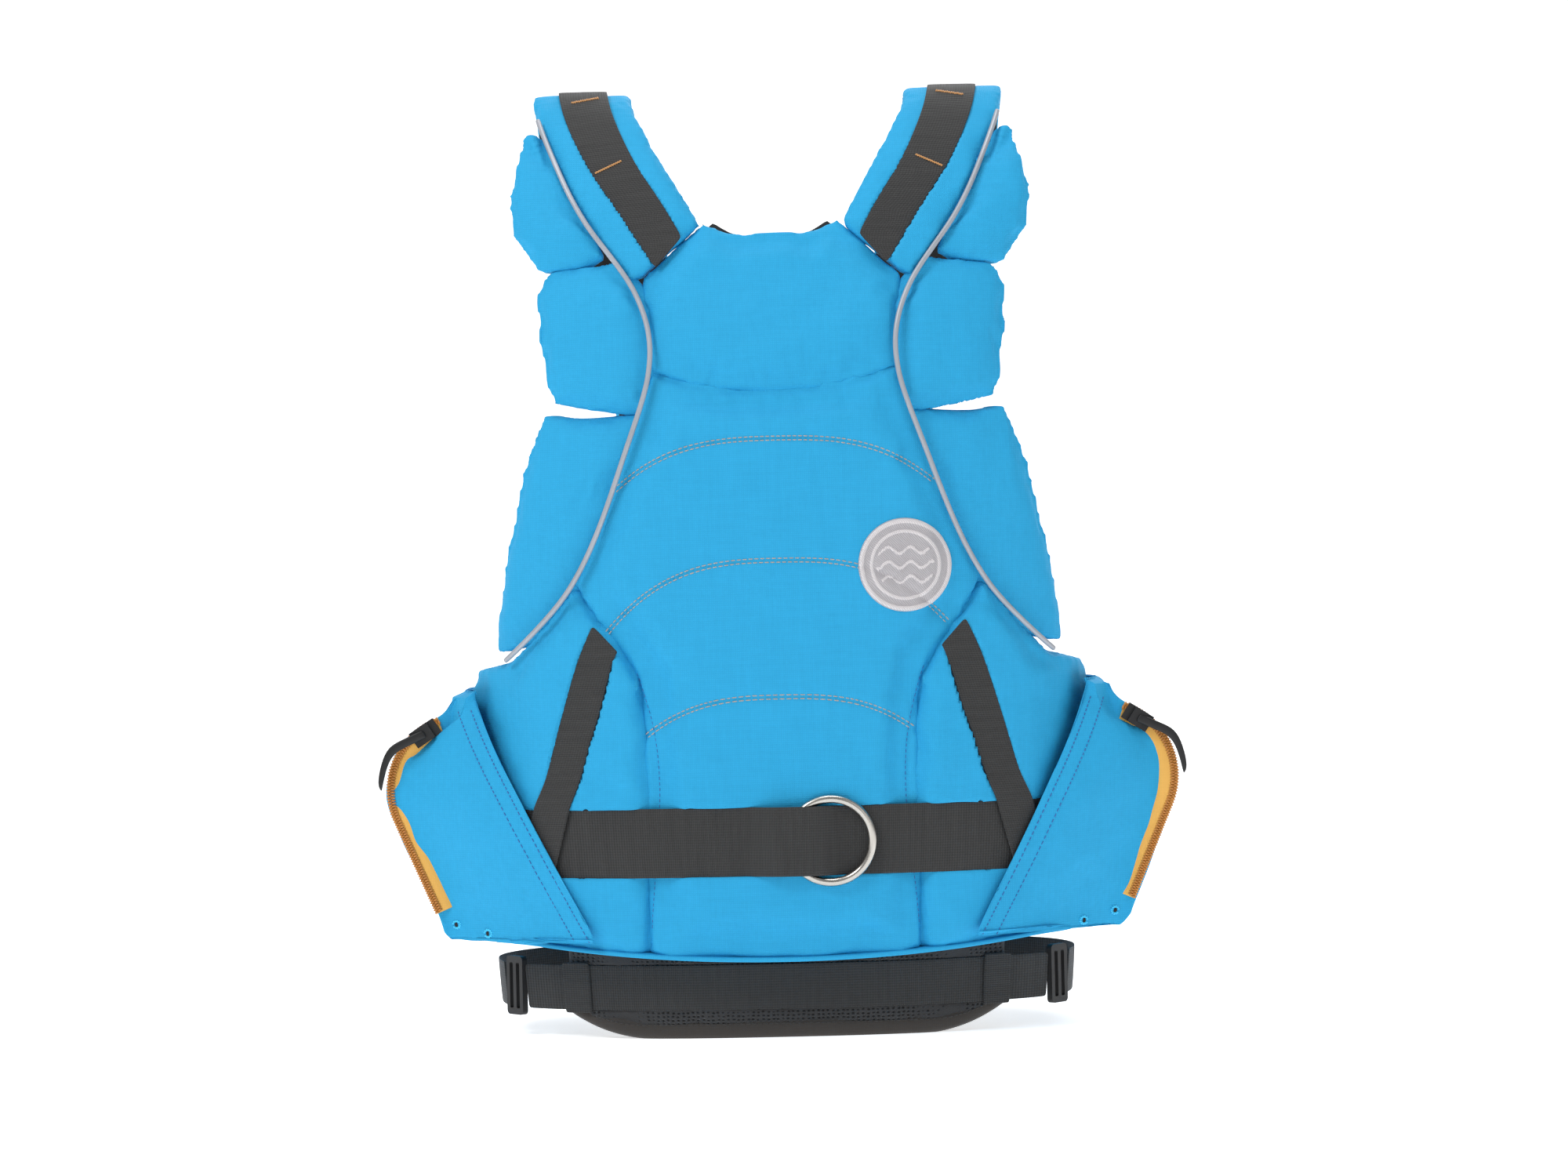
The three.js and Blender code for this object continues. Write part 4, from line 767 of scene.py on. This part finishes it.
def sew(name, rows, material, radius, length, gap, body="vest"):
    """Rows of stitches, each a small six-sided spindle between two points of its row."""
    mesh = bmesh.new()
    for row in rows:
        walked, start = 0.0, None
        for (a, normal), (b, _) in zip(row, row[1:]):
            walked += (b - a).length
            start = start or a
            if walked < length:
                continue
            along = (b - start).normalized()
            side = along.cross(normal).normalized()
            reach = (b - start).length * (1 - gap)
            rings = []
            for t, k in ((0, 0.35), (0.2, 1), (0.8, 1), (1, 0.35)):
                middle = start + along * reach * t - normal * radius * 0.6 * (1 - k)
                ring = [middle + (side * math.cos(w) + normal * math.sin(w)) * radius * k
                        for w in (i * math.tau / 6 for i in range(6))]
                rings.append([mesh.verts.new(p) for p in ring])
            for low, high in zip(rings, rings[1:]):
                for i in range(6):
                    mesh.faces.new((low[i], low[(i + 1) % 6], high[(i + 1) % 6], high[i]))
            mesh.faces.new(rings[0][::-1])
            mesh.faces.new(rings[-1])
            walked, start = 0.0, None
    return add_piece(name, mesh, material, body)


def row_on(skin, spots, lift, front=False, shift=0.0):
    """A row's points on the skin, moved sideways in the plane of the back."""
    spots = [Vector((x, 0, z)) for x, z in spots]
    found = []
    for i, spot in enumerate(spots):
        way = (spots[min(i + 1, len(spots) - 1)] - spots[max(i - 1, 0)]).normalized()
        aside = spot + Vector((-way.z, 0, way.x)) * shift
        found.append(lay_on(skin, aside.x, aside.z, lift, front))
    return dense([f for f in found if f], 0.0008)


def dense(row, step):
    """The same row with points a small step apart."""
    made = []
    for (a, n), (b, m) in zip(row, row[1:]):
        count = max(int((b - a).length / step), 1)
        made += [(a.lerp(b, i / count), n.lerp(m, i / count).normalized()) for i in range(count)]
    return made


# ------------------------------------------------------------------ operators

class VEST_OT_panels(bpy.types.Operator):
    """Makes the foam panels of the back, sides, shoulders and front"""
    bl_idname = "vest.panels"
    bl_label = "Foam Panels"

    def execute(self, context):
        back = panel("back_panel", "cover_back_centre", ["foam_back_lower", "foam_back_upper"], 0.022, seed=1.0)
        press_seams(back, [*ARCHES, YOKE_LINE, PRINCESS_LINE, mirrored(PRINCESS_LINE), PIPING_LINE,
                           mirrored(PIPING_LINE)])
        hold_down(back, ["rescue_belt", "stay_strap_left", "stay_strap_right"])
        yoke = panel("yoke_panel", "cover_yoke", ["foam_yoke"], 0.013, seed=2.0, soft=8)
        press_seams(yoke, [YOKE_LINE, PIPING_LINE, mirrored(PIPING_LINE)], amount=0.002, reach=0.02)
        for i, (side, sign) in enumerate(SIDES):
            line = (lambda spots: spots) if sign > 0 else mirrored
            flank = panel(f"side_panel_{side}", f"cover_side_{side}", [f"foam_side_{side}"], 0.022, seed=3.0 + i)
            press_seams(flank, [line(PRINCESS_LINE), line(PIPING_LINE)], amount=0.003, reach=0.022)
            hold_down(flank, ["rescue_belt", f"stay_strap_{side}", f"pocket_{side}", f"zip_{side}"])
            pad = panel(f"shoulder_pad_{side}", f"cover_shoulder_{side}", [f"foam_shoulder_{side}"], 0.0115,
                        voxel=0.0035, cap=0.0025, seed=5.0 + i, soft=3)
            press_seams(pad, [line(PIPING_LINE)], amount=0.002)
            hold_down(pad, [f"webbing_shoulder_{side}"])
        panel("front_panel", "cover_front", ["foam_front"], 0.018, voxel=0.0055, seed=8.0)
        return {"FINISHED"}


class VEST_OT_wings(bpy.types.Operator):
    """Makes the six foam wings of the armholes"""
    bl_idname = "vest.wings"
    bl_label = "Armhole Wings"

    def execute(self, context):
        for side, sign in SIDES:
            line = PIPING_LINE if sign > 0 else mirrored(PIPING_LINE)
            for i, level in enumerate(LEVELS):
                node = f"wing_{level}_{side}"
                mesh, start, away = wing_mesh(node, f"wing_flex_{level}_{side}", *WING_MEETS[level])
                wing = padded_panel(f"wing_pad_{level}_{side}", [node], None, voxel=0.0024, cap=0.0035,
                                    seed=9.0 + i + sign, soft=7, mesh=mesh)
                press_seams(wing, [line], depth=0, amount=0.003, reach=0.012)
                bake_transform(wing)
        return {"FINISHED"}


class VEST_OT_linings(bpy.types.Operator):
    """Makes the linings and the bound hem"""
    bl_idname = "vest.linings"
    bl_label = "Linings and Hem"

    def execute(self, context):
        for name, node, rests, flat in (("back_lining", "lining_back", "back_panel", (0.548, 0.505)),
                                        ("front_lining", "lining_front", "front_panel", (0.432, 0.53))):
            piece = softened(name, [node], lining(), levels=1)
        softened("back_hem", ["hem_back"], nylon(), radius=0.0009, levels=2)
        return {"FINISHED"}


class VEST_OT_trim(bpy.types.Operator):
    """Makes the reflective piping"""
    bl_idname = "vest.trim"
    bl_label = "Piping"

    def execute(self, context):
        for side, _ in SIDES:
            softened(f"reflective_piping_{side}", [f"piping_{side}"], reflective())
        return {"FINISHED"}


class VEST_OT_webbing(bpy.types.Operator):
    """Makes the belts and straps"""
    bl_idname = "vest.webbing"
    bl_label = "Webbing"

    def execute(self, context):
        straps = [("tow_belt", "rescue_belt", round_waist), ("lumbar_strap", "waist_webbing", round_waist)]
        for side, _ in SIDES:
            straps += [(f"shoulder_strap_{side}", f"webbing_shoulder_{side}", over_shoulder),
                       (f"belt_stay_{side}", f"stay_strap_{side}", upward),
                       (f"waist_belt_{side}", f"waist_strap_{side}", round_waist),
                       (f"strap_keeper_{side}", f"webbing_keeper_{side}", upward)]
        for name, node, along in straps:
            piece = softened(name, [node], webbing())
            weave_along(piece, along)
        return {"FINISHED"}


class VEST_OT_stitching(bpy.types.Operator):
    """Sews the topstitched arches, the seams and the bar tacks"""
    bl_idname = "vest.stitching"
    bl_label = "Stitching"

    def execute(self, context):
        panels = ["back_panel", "yoke_panel"] + [f"{kind}_{side}" for side, _ in SIDES
                                                 for kind in ("side_panel", "shoulder_pad")]
        skin = skin_of(panels)
        settings = cloth()
        lift = settings.thread * 0.35
        light = thread("topstitch", tuple(settings.topstitch))
        rows = [row_on(skin, spots, lift, shift=shift) for spots in ARCHES for shift in (-0.0014, 0.0014)]
        sew("topstitch_arches", rows, light, settings.thread, settings.stitch, 0.22)
        dark = thread("seam", tuple(settings.seam_thread))
        beside = []
        for line in (PRINCESS_LINE, mirrored(PRINCESS_LINE)):
            beside.append(row_on(skin, line[6:70], lift * 0.2, shift=0.0022 if line[0][0] > 0 else -0.0022))
        sew("seam_stitches", beside, dark, settings.thread * 0.8, settings.stitch, 0.3)
        tan = thread("bar_tack", tuple(context.scene.vest_webbing.bar_tack))
        for side, sign in SIDES:
            strap = skin_of([f"shoulder_strap_{side}"])
            rows = []
            for middle, height, tilt in ((111, 603, -0.46), (128, 655, -0.2)):
                zigzag = []
                for i in range(27):
                    along = (i / 26 - 0.5) * 19
                    off = 0.9 if i % 2 else -0.9
                    x = sign * (middle + along)
                    z = height + along * tilt + off
                    zigzag.append(lay_on(strap, x / 1000, z / 1000, 0.0004))
                rows.append(dense([f for f in zigzag if f], 0.0004))
            sew(f"bar_tacks_{side}", rows, tan, 0.0005, 0.0019, 0.05)
        return {"FINISHED"}


class VEST_OT_ring(bpy.types.Operator):
    """Makes the steel tow ring"""
    bl_idname = "vest.ring"
    bl_label = "Tow Ring"

    def execute(self, context):
        points = points_of(frame["nodes"]["tow_ring"].data)
        centre = (points.min(axis=0) + points.max(axis=0)) / 2
        _, _, axes = np.linalg.svd(np.unique(points.round(6), axis=0) - centre, full_matrices=False)
        off = np.abs((points - centre) @ axes[2]).max()
        outer = np.linalg.norm(points - centre, axis=1).max()
        turn = Matrix([Vector(axes[0]), Vector(axes[1]), Vector(axes[0]).cross(Vector(axes[1]))]).transposed()
        mesh = bmesh.new()
        big, small = 128, 24
        grid = [[mesh.verts.new(Vector(centre) + turn @ Vector((
            math.cos(a) * (outer - off + off * math.cos(b)), math.sin(a) * (outer - off + off * math.cos(b)),
            off * math.sin(b)))) for b in (j * math.tau / small for j in range(small))]
            for a in (i * math.tau / big for i in range(big))]
        for i in range(big):
            for j in range(small):
                mesh.faces.new((grid[i][j], grid[(i + 1) % big][j], grid[(i + 1) % big][(j + 1) % small],
                                grid[i][(j + 1) % small]))
        add_piece("steel_ring", mesh, steel(), "tow_ring", ["tow_ring"])
        return {"FINISHED"}


class VEST_OT_badge(bpy.types.Operator):
    """Makes the embroidered badge: a ring round a field of wavy lines"""
    bl_idname = "vest.badge"
    bl_label = "Badge"

    def execute(self, context):
        settings = context.scene.vest_fittings
        low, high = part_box("badge")
        middle_x, middle_z = (low.x + high.x) / 2, (low.z + high.z) / 2
        radius = (high.z - low.z) / 2
        skin = skin_of(["back_panel", "side_panel_right"])
        mesh = bmesh.new()
        rings, segments = 44, 128
        raised = []

        def lift(r, x, z):
            share = r / radius
            edge = math.exp(-((share - 0.93) / 0.05) ** 2) + 0.7 * math.exp(-((share - 0.72) / 0.035) ** 2)
            gap = 2 * radius * 0.62 / (settings.waves + 1)
            near = min(abs(z - (k - (settings.waves - 1) / 2) * gap - 0.0022 * math.sin(x * 420))
                       for k in range(settings.waves))
            wave = math.exp(-(near / 0.0012) ** 2) * (share < 0.62)
            return 0.0009 + 0.0011 * edge + 0.0008 * wave

        grid = []
        for i in range(rings + 1):
            r = radius * i / rings
            ring = []
            for j in range(segments if i else 1):
                x, z = r * math.cos(j * math.tau / segments), r * math.sin(j * math.tau / segments)
                height = lift(r, x, z) if i < rings else -0.0002
                spot, _ = lay_on(skin, middle_x + x, middle_z + z, height)
                ring.append(mesh.verts.new(spot))
                raised.append(height)
            grid.append(ring)
        for j in range(segments):
            mesh.faces.new((grid[0][0], grid[1][j], grid[1][(j + 1) % segments]))
            for i in range(1, rings):
                mesh.faces.new((grid[i][j], grid[i + 1][j], grid[i + 1][(j + 1) % segments],
                                grid[i][(j + 1) % segments]))
        piece = add_piece("embroidered_badge", mesh, [embroidery("raised", tuple(settings.patch)),
                          embroidery("field", tuple(settings.patch_field))], "vest", ["badge"])
        for face in piece.data.polygons:
            face.material_index = int(sum(raised[i] for i in face.vertices) / len(face.vertices) < 0.0013)
        return {"FINISHED"}


DRAINS = ((0.230, 0.080), (0.207, 0.0745))
CORNER = ((0.2545, 0.090), (0.2300, 0.0655))


def cut_corner(piece, sign):
    """Rounds off the outer bottom corner of a pocket."""
    start, end = np.array(CORNER[0]), np.array(CORNER[1])
    way = (end - start) / np.linalg.norm(end - start)
    out = np.array((-way[1], way[0]))
    if out[0] < 0:
        out = -out
    points = points_of(piece.data)
    flat = np.stack([points[:, 0] * sign, points[:, 2]], axis=1)
    beyond = np.maximum(((flat - start) * out).sum(axis=1), 0) * 0.85
    flat -= out * beyond[:, None]
    points[:, 0], points[:, 2] = flat[:, 0] * sign, flat[:, 1]
    put_points(piece.data, points)


class VEST_OT_pockets(bpy.types.Operator):
    """Makes the side pockets and the chest pocket"""
    bl_idname = "vest.pockets"
    bl_label = "Pockets"

    def execute(self, context):
        settings = cloth()
        dark = thread("seam", tuple(settings.seam_thread))
        for side, sign in SIDES:
            name = f"pocket_bag_{side}"
            piece = softened(name, [f"pocket_{side}"], nylon(), radius=0.0005, levels=3)
            undulate(piece, 0.0034, scale=16.0, seed=12.0 + sign)
            undulate(piece, 0.0012, scale=44.0, seed=15.0 + sign)
            cut_corner(piece, sign)
            skin = skin_of([name])
            edge = curve_between([(72, 131), (110, 152), (160, 178), (210, 203), (236, 214)], swap=True)
            edge = edge if sign > 0 else mirrored(edge)
            rows = [row_on(skin, edge, 0.0001, shift=-sign * s) for s in (0.004, 0.013)]
            sew(f"pocket_hem_stitches_{side}", rows, dark, settings.thread, settings.stitch, 0.3)
            rings = [row_on(skin, [(sign * (x + 0.0026 * math.cos(a)), z + 0.0026 * math.sin(a))
                                   for a in (k * math.tau / 24 for k in range(25))], 0.0001) for x, z in DRAINS]
            sew(f"drain_eyelets_{side}", rings, thread("eyelet", shade(tuple(settings.nylon), 1.7)),
                settings.thread * 2.4, settings.stitch * 0.35, 0.0)
            # Painted shade: a flat dark disc in lining colour sits in each drain eyelet and stands for the shadow
            # inside the hole.
            holes = bmesh.new()
            for x, z in DRAINS:
                spot = row_on(skin, [(sign * x, z), (sign * x, z + 0.0005)], 0.0)[0]
                spot = Vector(spot[0] if isinstance(spot, tuple) else spot)
                made = bmesh.ops.create_icosphere(holes, subdivisions=2, radius=0.0017)
                for v in made["verts"]:
                    v.co.y *= 0.25
                    v.co += spot
            add_piece(f"drain_hole_shade_{side}", holes, lining(), "vest")
        piece = softened("chest_bag", ["chest_pocket"], nylon(), radius=0.0005, levels=3)
        return {"FINISHED"}


def zip_spots(sign):
    """Points down the middle of a side zip, with the direction across it."""
    low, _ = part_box(f"zip_{'right' if sign > 0 else 'left'}")
    radius, run = 0.048, 0.075
    centre = Vector((0.2226, 0, 0.174))
    start, end = math.radians(71), math.radians(-23.2)
    plane = low.y
    spots = []
    arc = radius * (start - end)
    for i in range(161):
        walked = (arc + run - 0.004) * i / 160
        angle = max(start - walked / radius, end)
        out = Vector((math.cos(angle), 0, math.sin(angle)))
        down = Vector((math.sin(angle), 0, -math.cos(angle)))
        point = centre + out * radius + down * max(walked - arc, 0)
        spots.append((Vector((sign * point.x, plane, point.z)), Vector((sign * out.x, 0, out.z))))
    return spots


class VEST_OT_zips(bpy.types.Operator):
    """Makes the zips' tapes, coils and pullers"""
    bl_idname = "vest.zips"
    bl_label = "Zips"

    def coil(self, name, spots, face, settings, shift_out=0.0034):
        """Two rows of teeth that meet in the middle, each tooth a small bead."""
        mesh = bmesh.new()
        step = settings.tooth
        row = dense(spots, step / 6)
        for i, (_, across) in enumerate(row[::6]):
            for side in (-1, 1):
                shift = 0.5 if side > 0 else 0
                middle = (row[min(int((i + shift) * 6), len(row) - 1)][0]) + across * (side * 0.0013 + shift_out)
                made = bmesh.ops.create_icosphere(mesh, subdivisions=1, radius=1.0)
                turn = Matrix((across, face, across.cross(face))).transposed()
                for v in made["verts"]:
                    v.co = middle + turn @ Vector((v.co.x * 0.0021, v.co.y * 0.0011, v.co.z * step * 0.52))
        return add_piece(name, mesh, zip_coil(), "vest")

    def tape(self, name, spots, face, node):
        """A woven tape under the coil, thin and slightly domed."""
        mesh = bmesh.new()
        across_at = (-0.0105, -0.0056, -0.0022, 0.0008, 0.0034, 0.0058)
        sunk = (0.0030, 0.0006, 0.0004, 0.0004, 0.0004, 0.0006)
        top = [[mesh.verts.new(p + a * s - face * d) for s, d in zip(across_at, sunk)] for p, a in spots]
        low = [[mesh.verts.new(p + a * s - face * (d + 0.001)) for s, d in zip(across_at, sunk)] for p, a in spots]
        last = len(across_at) - 1
        for i in range(len(spots) - 1):
            for j in range(last):
                mesh.faces.new((top[i][j], top[i + 1][j], top[i + 1][j + 1], top[i][j + 1]))
                mesh.faces.new((low[i][j + 1], low[i + 1][j + 1], low[i + 1][j], low[i][j]))
            mesh.faces.new((top[i][0], low[i][0], low[i + 1][0], top[i + 1][0]))
            mesh.faces.new((top[i + 1][last], low[i + 1][last], low[i][last], top[i][last]))
        for i in (0, -1):
            mesh.faces.new([*top[i], *low[i][::-1]])
        bmesh.ops.recalc_face_normals(mesh, faces=mesh.faces)
        return add_piece(name, mesh, zip_tape(), "vest", [node])

    def puller(self, name, node):
        """A moulded puller: its CAD solid, with its edges rounded and its facets smoothed."""
        piece = softened(name, [node], acetal(), node, radius=0.0007, levels=2)
        return piece

    def execute(self, context):
        settings = context.scene.vest_fittings
        for side, sign in SIDES:
            spots = zip_spots(sign)
            face = Vector((0, -1, 0))
            self.tape(f"zip_band_{side}", spots, face, f"zip_{side}")
            self.coil(f"zip_teeth_{side}", spots, face, settings)
            self.puller(f"pull_tab_{side}", f"zip_puller_{side}")
        low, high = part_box("zip_chest")
        level = (low.z + high.z) / 2
        spots = [(Vector((high.x - (high.x - low.x) * i / 60, high.y, level)), Vector((0, 0, 1))) for i in range(61)]
        face = Vector((0, 1, 0))
        self.tape("zip_band_chest", spots, face, "zip_chest")
        self.coil("zip_teeth_chest", spots, face, settings, 0.0)
        self.puller("pull_tab_chest", "zip_puller_chest")
        return {"FINISHED"}


class VEST_OT_fittings(bpy.types.Operator):
    """Rounds the moulded fittings and gives them their plastic"""
    bl_idname = "vest.fittings"
    bl_label = "Moulded Fittings"

    def execute(self, context):
        nodes = ["cam_buckle", "cam_lever", "buckle_socket", "buckle_tongue", "zip_slider_chest"]
        for side, _ in SIDES:
            nodes += [f"shoulder_adjuster_{side}", f"waist_adjuster_{side}", f"zip_slider_{side}"]
        for name in nodes:
            node = frame["nodes"][name]
            node.data.materials.clear()
            node.data.materials.append(acetal())
            edge = node.modifiers.new("Rounded", "BEVEL")
            edge.width = 0.0005
            edge.segments = 2
            edge.limit_method = "ANGLE"
            edge.angle_limit = 0.7
            edge.harden_normals = True
        return {"FINISHED"}


class VEST_OT_lumbar(bpy.types.Operator):
    """Makes the lumbar pad and its bound edge"""
    bl_idname = "vest.lumbar"
    bl_label = "Lumbar Pad"

    def execute(self, context):
        pad = padded_panel("lumbar_cushion", ["lumbar_pad"], voxel=0.004, cap=0.0015, lined=False, fill=0.5, soft=3,
                           mesh=joined(["lumbar_pad", "lumbar_binding"]))
        hold_down(pad, ["waist_webbing"], depth=0.01)
        pad.data.materials.clear()
        pad.data.materials.append(spacer_mesh())
        bound = softened("lumbar_edge", ["lumbar_binding"], edge_tape(), radius=0.003, levels=2)
        points, normals, _ = outer_face(bound)
        put_points(bound.data, points + normals * 0.0014)
        skin = skin_of([bound.name])
        row = [(x / 1000, (9.6 + 20 * (max(abs(x) - 100, 0) / 59) ** 2) / 1000) for x in range(-150, 151, 3)]
        sew("lumbar_edge_stitches", [row_on(skin, row, 0.0001)], thread("tape", shade(tuple(cloth().tape), 0.6)),
            cloth().thread, cloth().stitch, 0.25)
        return {"FINISHED"}


class VEST_OT_stage(bpy.types.Operator):
    """Makes the floor, the lights and the camera"""
    bl_idname = "vest.stage"
    bl_label = "Stage"

    def execute(self, context):
        mesh = bmesh.new()
        profile = [(-9, 0), (5, 0)] + [(5 + 2 * math.sin(a), 2 - 2 * math.cos(a))
                                       for a in (i * math.pi / 24 for i in range(1, 13))] + [(7, 9)]
        rows = [[mesh.verts.new((x, y, z)) for y, z in profile] for x in (-12, 12)]
        for i in range(len(profile) - 1):
            mesh.faces.new((rows[0][i], rows[1][i], rows[1][i + 1], rows[0][i + 1]))
        data = bpy.data.meshes.new("studio_sweep")
        mesh.to_mesh(data)
        mesh.free()
        data.materials.append(studio())
        data.polygons.foreach_set("use_smooth", [True] * len(data.polygons))
        sweep = bpy.data.objects.new("studio_sweep", data)
        context.scene.collection.objects.link(sweep)
        world = bpy.data.worlds.new("studio_world")
        world.use_nodes = True
        world.node_tree.nodes["Background"].inputs["Color"].default_value = linear("F4F6F8")
        world.node_tree.nodes["Background"].inputs["Strength"].default_value = 0.36
        context.scene.world = world
        for name, spot, power, wide in (("key_light", (-1.7, -1.7, 2.4), 40, 1.0),
                                        ("fill_light", (1.8, -2.0, 1.1), 6, 1.8),
                                        ("top_light", (0.1, -0.4, 2.6), 24, 1.2),
                                        ("front_light", (0.6, 2.0, 1.8), 22, 1.6)):
            light = bpy.data.lights.new(name, "AREA")
            light.energy = power
            light.size = wide
            lamp = bpy.data.objects.new(name, light)
            lamp.location = spot
            aim = Vector((0, 0, 0.33)) - Vector(spot)
            lamp.rotation_euler = aim.to_track_quat("-Z", "Y").to_euler()
            context.scene.collection.objects.link(lamp)
        lens = bpy.data.cameras.new("camera")
        lens.lens = 90
        lens.sensor_width = 36
        camera = bpy.data.objects.new("camera", lens)
        lean = math.radians(1.3)
        camera.matrix_world = (Matrix.Translation((0.004, CAD_BOX[0].y - 2.66, 0.3100))
                               @ Matrix.Rotation(math.pi / 2, 4, "X") @ Matrix.Rotation(-lean, 4, "Z"))
        context.scene.collection.objects.link(camera)
        context.scene.camera = camera
        context.scene.view_settings.view_transform = "Standard"
        return {"FINISHED"}


OPERATORS = (VEST_OT_stage, VEST_OT_panels, VEST_OT_wings, VEST_OT_linings, VEST_OT_trim, VEST_OT_webbing,
             VEST_OT_stitching, VEST_OT_ring, VEST_OT_badge, VEST_OT_pockets, VEST_OT_zips, VEST_OT_lumbar,
             VEST_OT_fittings)


class VEST_PT_sidebar(bpy.types.Panel):
    """Lists the vest's settings and pieces"""
    bl_idname = "VEST_PT_sidebar"
    bl_label = "Rescue Vest"
    bl_space_type = "VIEW_3D"
    bl_region_type = "UI"
    bl_category = "Vest"

    def draw(self, context):
        for group in (context.scene.vest_cloth, context.scene.vest_webbing, context.scene.vest_fittings):
            box = self.layout.box()
            for key in group.__annotations__:
                box.prop(group, key)
        for operator in OPERATORS:
            self.layout.operator(operator.bl_idname)


GROUPS = (("vest_cloth", ClothSettings), ("vest_webbing", WebbingSettings), ("vest_fittings", FittingSettings))


def register():
    for name, group in GROUPS:
        bpy.utils.register_class(group)
        setattr(bpy.types.Scene, name, PointerProperty(type=group))
    for made in (*OPERATORS, VEST_PT_sidebar):
        bpy.utils.register_class(made)


def unregister():
    for made in (VEST_PT_sidebar, *reversed(OPERATORS)):
        bpy.utils.unregister_class(made)
    for name, group in reversed(GROUPS):
        delattr(bpy.types.Scene, name)
        bpy.utils.unregister_class(group)


def main():
    register()
    for operator in OPERATORS:
        space, call = operator.bl_idname.split(".")
        getattr(getattr(bpy.ops, space), call)()


if __name__ == "__main__":
    main()
